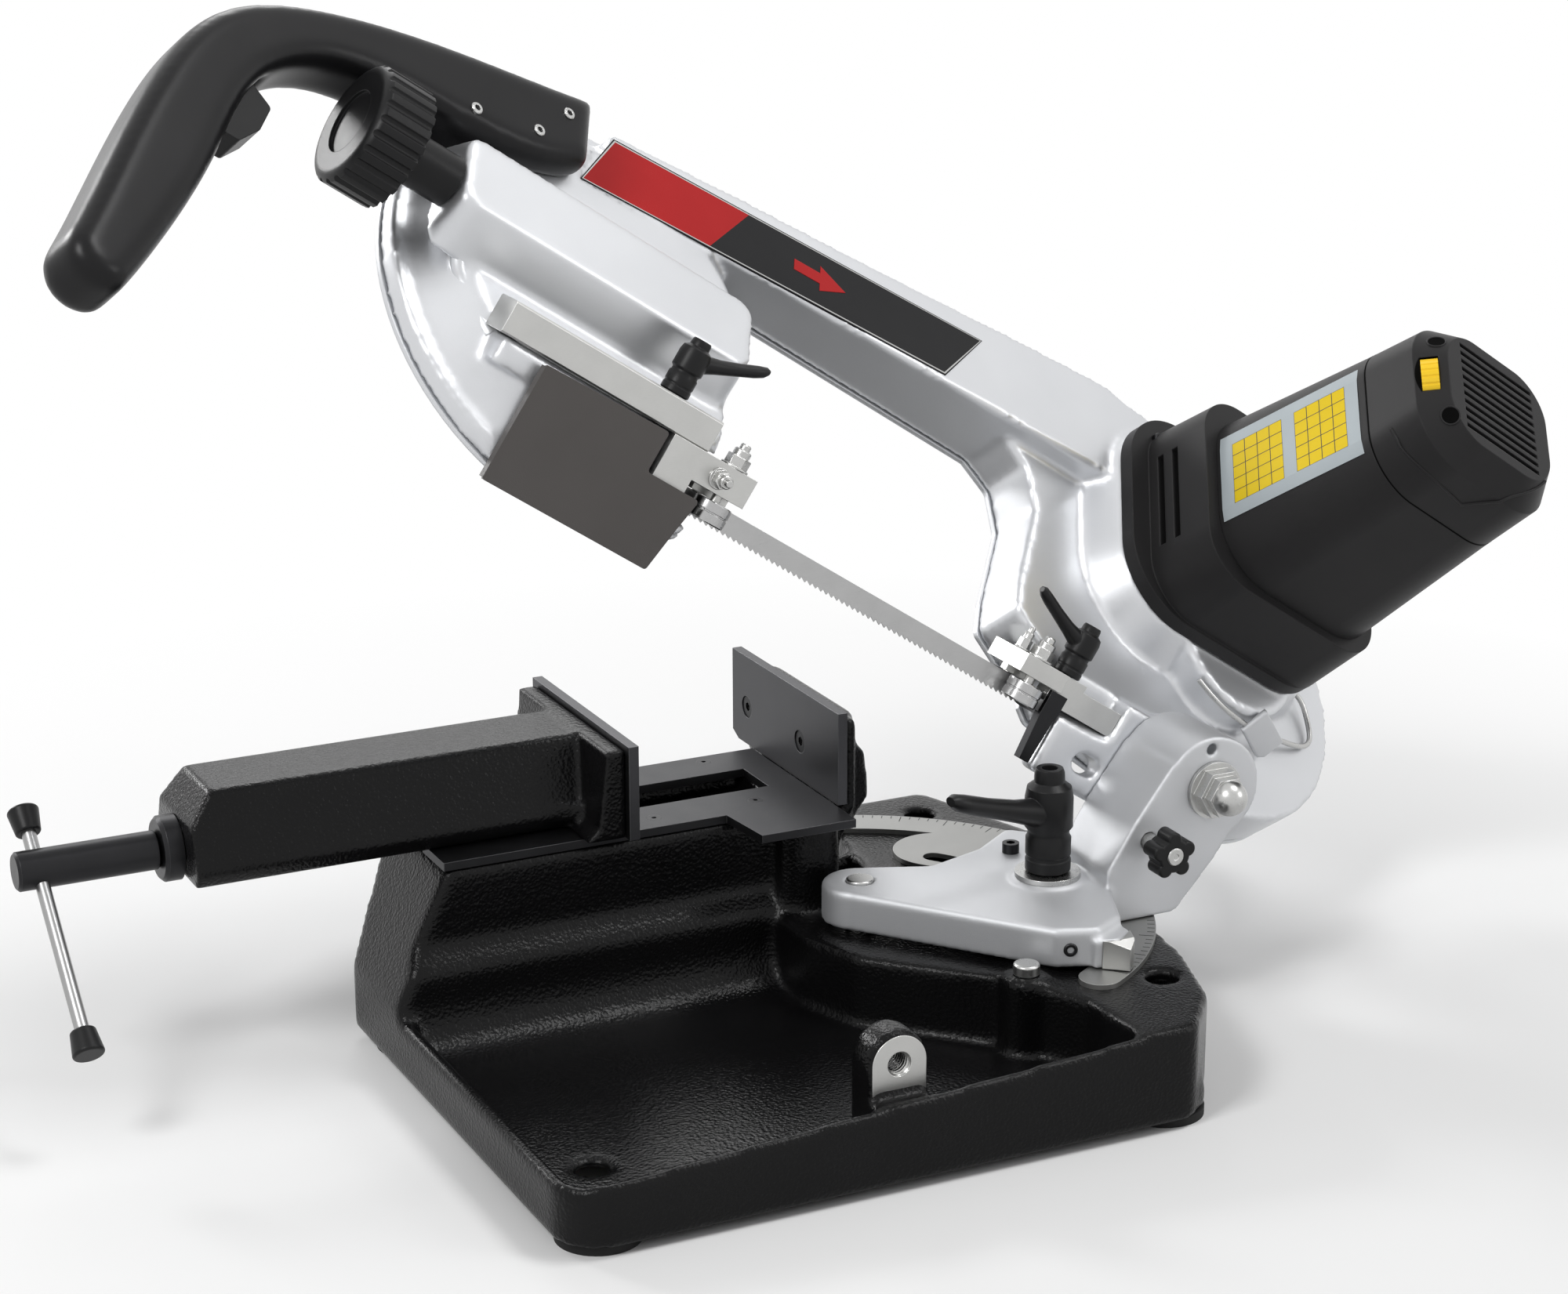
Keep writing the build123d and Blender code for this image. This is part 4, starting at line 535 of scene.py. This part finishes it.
def addNut(name, nut):
    bm = bmesh.new()
    flats = nut["flats"]
    turned(bm, [(r * flats, z) for r, z in castle["washer"]], roundSteps["washer"])
    hexHead(bm, flats, castle["low"], castle["high"])
    for part in ("crown", "pin"):
        turned(bm, [(r * flats, z) for r, z in castle[part]], roundSteps[part])
    place = spotOn(headFrame, *nut["spot"], nut["up"])
    addPiece(name, bm, place, "zincSteel", nut["body"])


for name, nut in guideNuts.items():
    addNut(name, nut)


# socket screws, turned, with a six-sided hole
screwSets = {
    "handleScrews": {"base": bowFrame, "up": (0, 0, 1), "r": 3.6, "high": 1.2,
                     "body": "head", "finish": "zincSteel", "slot": "bright_steel",
                     "spots": [(-541, 138, 39), (-500, 150, 39), (-482, 175, 39)]},
    "flangeScrews": {"base": bowFrame, "up": (0, 0, 1), "r": 4.5, "high": 3.5,
                     "body": "head", "finish": "blackSteel", "slot": "black_steel",
                     "spots": [(-35, 88, 54), (-35, 194, 54), (89, 194, 54), (89, 88, 54)]},
    "coverScrews": {"base": bowFrame, "up": (0, 0, -1), "r": 4.5, "high": 3,
                    "body": "head", "finish": "zincSteel", "slot": "bright_steel",
                    "spots": [(-540, 60, -18), (-500, 178, -18), (-428, -30, -18), (-320, 196, -18),
                              (-130, 205, -18), (30, 208, -18), (140, 110, -18), (60, -8, -18)]},
    "armGrub": {"base": baseFrame, "up": (-0.364, -0.93, 0), "r": 4, "high": 0.6,
                "body": "arm", "finish": "blackSteel", "slot": "black_steel",
                "spots": [(135, -104.6, 74)]},
}
screwTurn = 17  # degrees from one screw's hole to the next one's
screwFoot = -1
# shares of the screw's radius
socketShape = {"mouth": 0.5, "top": 0.86, "rim": 0.16, "hole": 0.48, "deep": 0.6}


def socketScrew(bm, r, high, matrix):
    new = bmesh.new()
    own = {key: r * share for key, share in socketShape.items()}
    profile = [(own["mouth"], high), (own["top"], high), (r, high - own["rim"]), (r, screwFoot)]
    turned(new, profile, roundSteps["screw"])
    rim = [e for e in new.edges if e.is_boundary and e.verts[0].co.z > 0]
    hole = bmesh.ops.create_circle(new, cap_ends=True, segments=6, radius=own["hole"])["verts"]
    bmesh.ops.translate(new, verts=hole, vec=(0, 0, high - own["deep"]))
    walls = [e for e in new.edges if all(v in hole for v in e.verts)]
    bmesh.ops.bridge_loops(new, edges=rim + walls)
    bmesh.ops.transform(new, matrix=matrix, verts=new.verts)
    part = bpy.data.meshes.new("screwPart")
    new.to_mesh(part)
    new.free()
    bm.from_mesh(part)
    bpy.data.meshes.remove(part)


def addScrews(name, kit):
    bm = bmesh.new()
    for i, spot in enumerate(kit["spots"]):
        place = spotOn(Matrix(), *spot, kit["up"], spin=screwTurn * i)
        socketScrew(bm, kit["r"], kit["high"], place)
    addPiece(name, bm, kit["base"], kit["finish"], kit["body"])


for name, kit in screwSets.items():
    addScrews(name, kit)
print("screws and nuts", len(screwSets) + len(guideNuts))


# machined face and thread of the stop lug
stopLug = {"spot": (-13, -181, 66), "arch": 15.8, "drop": 17, "face": 0.5,
           "bore": 6.9, "minor": 6.0, "root": 0.2, "pitch": 2.0, "turns": 11}


def addLugFace():
    lug = stopLug
    bm = bmesh.new()
    steps = roundSteps["lug"]
    outer = bmesh.ops.create_circle(bm, segments=steps, radius=lug["arch"])["verts"]
    bmesh.ops.create_circle(bm, segments=steps, radius=lug["bore"])
    bmesh.ops.bridge_loops(bm, edges=bm.edges[:])
    for v in outer:
        if v.co.y < 0:
            v.co.y = -lug["drop"]
    raised(bm, bm.faces[:], lug["face"])
    thread = [(lug["bore"], lug["face"])]
    for i in range(lug["turns"]):
        thread += [(lug["minor"], -(i + 0.5) * lug["pitch"]),
                   (lug["bore"] + lug["root"], -(i + 1) * lug["pitch"])]
    turned(bm, thread, roundSteps["thread"])
    turn = Matrix.Rotation(radians(90), 4, "X")
    place = baseFrame @ Matrix.Translation(lug["spot"]) @ turn
    addPiece("lugFace", bm, place, "alloyBar", "base", 25)


addLugFace()


# degree marks on the sector plate, a long one at every tenth degree
sector = {"centre": (65, 15, 63), "outer": 169.2, "short": 4, "long": 8.5, "wide": 0.5,
          "thick": 0.16, "from": -56, "to": 64, "step": 2}


def addMarks():
    bm = bmesh.new()
    for angle in range(sector["from"], sector["to"] + 1, sector["step"]):
        length = sector["short"] if (angle - sector["from"]) % 10 else sector["long"]
        mark = bmesh.ops.create_cube(bm, size=1)["verts"]
        bmesh.ops.scale(bm, vec=(length, sector["wide"], sector["thick"]), verts=mark)
        reach = Matrix.Translation((sector["outer"] - length / 2, 0, 0))
        place = Matrix.Rotation(radians(angle), 4, "Z") @ reach
        bmesh.ops.transform(bm, matrix=place, verts=mark)
    place = baseFrame @ Matrix.Translation(sector["centre"])
    addPiece("sectorMarks", bm, place, "ink", "base")


addMarks()


# screw wells of the motor's end cap, each floored by a flat disc painted black as the shade inside
# the well
capWells = {"wellFront": {"spot": (-6.6, 111.1, 252.7), "up": (-0.66, -0.38, 0.64)},
            "wellTop": {"spot": (-9.5, 166.6, 249.9), "up": (-0.69, 0.34, 0.64)}}
wellShape = {"profile": [(0, 0.15), (4.9, 0.15), (5.3, 0.5), (5.8, 0.3), (6.2, -1.5)],
             "mouth": 4.95}


def addWell(name, well):
    bm = bmesh.new()
    turned(bm, wellShape["profile"], roundSteps["well"])
    # faces inside the mouth get the painted black shade of the hole
    for face in bm.faces:
        face.material_index = int(face.calc_center_median().xy.length < wellShape["mouth"])
    place = spotOn(bowFrame, *well["spot"], well["up"])
    addPiece(name, bm, place, ("motorPlastic", "wellDark"), "head")


for name, well in capWells.items():
    addWell(name, well)


# thin dark slab painted as the shade in the window beside the speed wheel, on the cap's slanted
# face
dialWindow = {"spot": (-14.58, 141, 247.23), "up": (-0.8, 0, 0.6), "low": -0.6, "high": 0.15,
              "edge": -5.3, "bulge": 3.4, "half": 13.2, "steps": 14}


def addDialWindow():
    window = dialWindow
    bm = bmesh.new()
    outline = []
    for i in range(window["steps"] + 1):
        along = 2 * i / window["steps"] - 1
        left = window["edge"] - window["bulge"] * (1 - along * along)
        outline.append((left, along * window["half"]))
    slab(bm, outline, window["low"], window["high"])
    place = spotOn(bowFrame, *window["spot"], window["up"])
    addPiece("dialWindow", bm, place, "wellDark", "head")


addDialWindow()


# dark joint round the motor, where the cap meets the housing
capSeam = {"node": "motor_end_cap", "start": 0.05, "wide": 0.9, "stand": 0.12}


def addCapSeam():
    bm = bmesh.new()
    bm.from_mesh(nodes[capSeam["node"]].data)
    bmesh.ops.remove_doubles(bm, verts=bm.verts, dist=1e-6)
    bmesh.ops.transform(bm, matrix=bowFrame.inverted(), verts=bm.verts)
    low = min(v.co.z for v in bm.verts) + capSeam["start"]
    for height, side in ((low, -1), (low + capSeam["wide"], 1)):
        bmesh.ops.bisect_plane(bm, geom=bm.verts[:] + bm.edges[:] + bm.faces[:],
                               plane_co=(0, 0, height), plane_no=(0, 0, side), clear_outer=True)
    bm.normal_update()
    for v in bm.verts:
        v.co += v.normal * capSeam["stand"]
    addPiece("capSeam", bm, bowFrame, "wellDark", "head")


addCapSeam()


# metal hub in the star knob
starHub = {"spot": (213, -87, 110), "up": (0, -1, 0),
           "profile": [(0, 0.5), (1.6, 0.5), (2.0, 0.9), (4.6, 0.9), (5.2, 0.4), (5.2, -1)]}


def addStarHub():
    bm = bmesh.new()
    turned(bm, starHub["profile"], roundSteps["star"])
    place = spotOn(baseFrame, *starHub["spot"], starHub["up"])
    addPiece("starHub", bm, place, "zincSteel", "plunger")


addStarHub()


# plain plate with two boxes on the motor's side, laid on the housing
motorLabel = {"node": "motor_housing", "n": (101, 200), "v": (107, 170), "x": -40,
              "columns": 11, "rows": 7, "line": 0.4, "stand": 0.35,
              "boxes": [(1, 5, 1, 6), (6, 10, 1, 6)]}
layBack = 0.1  # metres to step back before looking for the surface


# moves the vertices along the place's -Z onto the mesh
def layOn(bm, mesh, place, stand):
    skin = BVHTree.FromPolygons([v.co for v in mesh.vertices], [p.vertices for p in mesh.polygons])
    down = -(place.to_3x3() @ Vector((0, 0, 1))).normalized()
    for v in bm.verts:
        start = place @ v.co
        hit = skin.ray_cast(start - down * layBack, down)[0]
        v.co = hit - down * stand * mm


def addMotorLabel():
    label = motorLabel
    bm = bmesh.new()
    bmesh.ops.create_grid(bm, x_segments=label["columns"], y_segments=label["rows"], size=0.5)
    length, height = (label[k][1] - label[k][0] for k in ("n", "v"))
    bmesh.ops.scale(bm, vec=(length, height, 1), verts=bm.verts)
    cells = bm.faces[:]
    for cell in cells:
        spot = cell.calc_center_median()
        column = (spot.x / length + 0.5) * label["columns"]
        row = (spot.y / height + 0.5) * label["rows"]
        boxed = any(a < column < b and c < row < d for a, b, c, d in label["boxes"])
        cell.material_index = int(boxed)
    lines = bmesh.ops.inset_individual(bm, faces=cells, thickness=label["line"])["faces"]
    for face in lines:
        face.material_index = 2 if face.material_index else 0
    bmesh.ops.recalc_face_normals(bm, faces=bm.faces)
    # its own Z looks along -x of the bow, its X along n
    turn = Matrix(((0, 0, -1), (0, 1, 0), (1, 0, 0))).to_4x4()
    middle = (label["x"], sum(label["v"]) / 2, sum(label["n"]) / 2)
    place = bowFrame @ Matrix.Translation(middle) @ turn
    layOn(bm, nodes[label["node"]].data, place, label["stand"])
    looks = ("labelPale", "labelYellow", "ink")
    addPiece("motorLabel", bm, Matrix(), looks, "head")


addMotorLabel()


# strip on the backbone: red and black with a bright line round it, and a plain arrow
strip = {"corners": [(-455, 160), (-191, 167), (-163, 210), (-436, 202)],
         "low": -0.6, "high": 0.45, "edge": 1.0, "line": 1.1, "split": [(-366, 163), (-337, 208)],
         "turnX": -437, "level": 18, "lean": 3.086, "margin": 3, "deep": 7,
         "arrow": [(-306, 182), (-287, 182), (-287, 176.5), (-268, 186), (-287, 195.5), (-287, 190),
                   (-306, 190)], "arrowLow": 0.2, "arrowRise": 0.25}


# presses the casting flat where the strip is stuck on
def seatStrip(place):
    back = place.inverted()
    margin = strip["margin"]
    (a, low), (b, _), (c, high), (d, _) = strip["corners"]
    for v in bpy.data.objects["castBow"].data.vertices:
        spot = back @ v.co
        side = (spot.y - low) / (high - low)
        inRow = -margin < spot.y - low < high - low + margin
        inLine = a + (d - a) * side - margin < spot.x < b + (c - b) * side + margin
        if inRow and inLine and 0 < spot.z < strip["deep"]:
            v.co = place @ Vector((spot.x, spot.y, 0))


def addStrip():
    bm = bmesh.new()
    slab(bm, strip["corners"], strip["low"], strip["high"])
    top = max(bm.faces, key=lambda f: f.calc_center_median().z)
    for look, wide in enumerate((strip["edge"], strip["line"])):
        ring = bmesh.ops.inset_region(bm, faces=[top], thickness=wide)["faces"]
        for face in ring:
            face.material_index = look
    a, b = (Vector((*p, 0)) for p in strip["split"])
    cut = bmesh.ops.bisect_plane(bm, geom=[top] + top.edges[:] + top.verts[:], plane_co=a,
                                 plane_no=(b - a).cross(Vector((0, 0, 1))))["geom"]
    for face in [g for g in cut if isinstance(g, bmesh.types.BMFace)]:
        spot = face.calc_center_median()
        left = (b - a).cross(spot - a).z > 0
        face.material_index = 2 if left else 0
    lean = Matrix.Rotation(-radians(strip["lean"]), 4, "Y")
    place = bowFrame @ Matrix.Translation((strip["turnX"], 0, strip["level"])) @ lean
    place = place @ Matrix.Translation((-strip["turnX"], 0, 0))
    seatStrip(place)
    looks = ("stripBlack", "zincSteel", "stripRed")
    addPiece("backboneStrip", bm, place, looks, "head")
    bm = bmesh.new()
    slab(bm, strip["arrow"], strip["arrowLow"], strip["high"] + strip["arrowRise"])
    addPiece("stripArrow", bm, place, "stripRed", "head")


addStrip()


# wire of the spring latch that holds the rear cover, and beads on wheel drum and motor cap
wires = {
    "latchWire": {"wire": 1.7, "finish": "zincSteel", "slot": "bright_steel",
                  "path": [(12, 46, 39), (24, 38.5, 39), (44, 34.5, 38), (70, 39, 33), (96, 49, 27),
                           (114, 55, 24), (125, 60, 23.5), (130, 68, 23.5), (128, 80, 24),
                           (120, 94, 26), (112, 98, 24)]},
    "drumBead": {"wire": 4.4, "finish": "bowPaint", "slot": "silver_casting",
                 "path": [(-528, 62, 19), (-525, 53, 14), (-519, 47, 11.5), (-512, 37, 12),
                          (-505, 27, 12.5), (-499, 19, 14)]},
    "capRidge": {"wire": 0.9, "finish": "motorPlastic", "slot": "motor_plastic",
                 "path": [(-19.9, 113.1, 220.3), (-17.3, 105.1, 222.4), (-14.2, 100, 222.2),
                          (-5.9, 92.3, 225.5), (5.6, 87.5, 227.1), (20.4, 86.7, 225.6),
                          (35.4, 86.6, 223.5), (35.4, 86.6, 223.5), (42.7, 87.2, 232.4),
                          (49.9, 87.6, 239.9), (49.9, 87.6, 239.9), (53.6, 90.8, 243.9),
                          (64.1, 96.8, 250.5), (70.8, 102.5, 253.3), (74.4, 107.7, 255)]},
}
latchPlate = {"spot": (72, 38.5, 34), "up": (0.2, -0.82, 0.54), "spin": -16,
              "low": -0.4, "high": 3, "round": 1.2,
              "outline": [(-16, -10), (12, -10), (16, -6), (16, 9), (-16, 9)]}


def addWire(name, kit):
    data = bpy.data.curves.new(name, "CURVE")
    data.dimensions = "3D"
    data.bevel_depth = kit["wire"] * mm
    data.bevel_resolution = 4
    line = data.splines.new("NURBS")
    line.points.add(len(kit["path"]) - 1)
    for point, spot in zip(line.points, kit["path"]):
        point.co = (*(bowFrame @ Vector(spot)), 1)
    line.order_u = 3
    line.use_endpoint_u = True
    data.use_fill_caps = True
    data.materials.append(finishes[kit["finish"]])
    wire = addObject(name, data)
    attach(wire, "head")


def addLatchPlate():
    plate = latchPlate
    bm = bmesh.new()
    slab(bm, plate["outline"], plate["low"], plate["high"], plate["round"])
    place = spotOn(bowFrame, *plate["spot"], plate["up"], plate["spin"])
    addPiece("latchPlate", bm, place, "armPaint", "head")


for name, kit in wires.items():
    addWire(name, kit)
addLatchPlate()
print("labels, marks and latch made")


# camera, light and floor
photoCamera = {"eye": (-0.8409, -1.6472, 0.8186), "target": (0.1678, 0.4164, 0.0926),
               "roll": -0.13, "lens": 80.17, "sensor": 36, "far": 20}
lamps = {
    "keyLamp": {"place": (-2.0, -0.9, 2.3), "aim": (0, 0, 0.25), "size": 0.8, "watts": 36},
    "leftLamp": {"place": (-1.3, 2.4, 1.4), "aim": (-0.1, 0, 0.2), "size": 0.7, "watts": 28},
    "sideLamp": {"place": (2.2, -1.8, 1.4), "aim": (0.1, 0, 0.3), "size": 0.9, "watts": 12},
    "topLamp": {"place": (1.2, -0.5, 2.7), "aim": (0, 0, 0.2), "size": 0.8, "watts": 24},
    "backLamp": {"place": (0.6, 2.5, 2.0), "aim": (0, 0, 0.35), "size": 1.1, "watts": 14},
}
studio = {"reach": 14, "floor": rgb(0.88, 0.88, 0.88), "world": rgb(1, 1, 1),
          "fill": 0.3, "near": 0.45, "far": 0.95}


def aimed(place, target):
    place = Vector(place)
    turn = (Vector(target) - place).to_track_quat("-Z", "Y").to_matrix().to_4x4()
    return Matrix.Translation(place) @ turn


def addCamera():
    data = bpy.data.cameras.new("photoCamera")
    data.lens = photoCamera["lens"]
    data.sensor_width = photoCamera["sensor"]
    data.clip_end = photoCamera["far"]
    cam = addObject("photoCamera", data)
    roll = Matrix.Rotation(radians(photoCamera["roll"]), 4, "Z")
    cam.matrix_world = aimed(photoCamera["eye"], photoCamera["target"]) @ roll
    bpy.context.scene.camera = cam


def addLamp(name, lamp):
    data = bpy.data.lights.new(name, "AREA")
    data.size = lamp["size"]
    data.energy = lamp["watts"]
    addObject(name, data).matrix_world = aimed(lamp["place"], lamp["aim"])


# 1 where the camera, a reflection or a see-through surface looks, 0 for light
def seenRay(tree):
    path = tree.nodes.new("ShaderNodeLightPath")
    rays = ("Is Camera Ray", "Is Glossy Ray", "Is Transmission Ray")
    seen = [Link(tree, path.outputs[ray]) for ray in rays]
    return (seen[0] + seen[1] + seen[2]).clamp()


# white to the camera and in reflections, dimmer as light
def addWorld():
    world = bpy.data.worlds.new("studioWorld")
    bpy.context.scene.world = world
    world.use_nodes = True
    tree = world.node_tree
    back = tree.nodes["Background"]
    back.inputs["Color"].default_value = studio["world"]
    strength = seenRay(tree) * (1 - studio["fill"]) + studio["fill"]
    tree.links.new(strength.socket, back.inputs["Strength"])


# pale floor that keeps the shadow near the saw and turns white further off
def addFloor():
    bm = bmesh.new()
    bmesh.ops.create_grid(bm, x_segments=1, y_segments=1, size=studio["reach"])
    mesh = bpy.data.meshes.new("studioFloor")
    bm.to_mesh(mesh)
    bm.free()
    floor = addObject("studioFloor", mesh)
    coords, feed = newFinish("studioFloor", Base_Color=studio["floor"], Roughness=0.9,
                             Specular_IOR_Level=0)
    mat = feed()
    tree = mat.node_tree
    away = coords.node("ShaderNodeVectorMath", {"operation": "LENGTH"}, {0: coords}, "Value")
    slope = 1 / (studio["far"] - studio["near"])
    fade = ((away - studio["near"]) * slope).clamp() * seenRay(tree)
    white = coords.node("ShaderNodeEmission", {}, {"Color": studio["world"], "Strength": 1})
    plain = Link(tree, tree.nodes["Principled BSDF"].outputs[0])
    both = coords.node("ShaderNodeMixShader", {}, {0: fade, 1: plain, 2: white})
    tree.links.new(both.socket, tree.nodes["Material Output"].inputs["Surface"])
    mesh.materials.append(mat)


addCamera()
for name, lamp in lamps.items():
    addLamp(name, lamp)
addWorld()
addFloor()
bpy.context.scene.view_settings.view_transform = "Standard"
print("camera and light set")
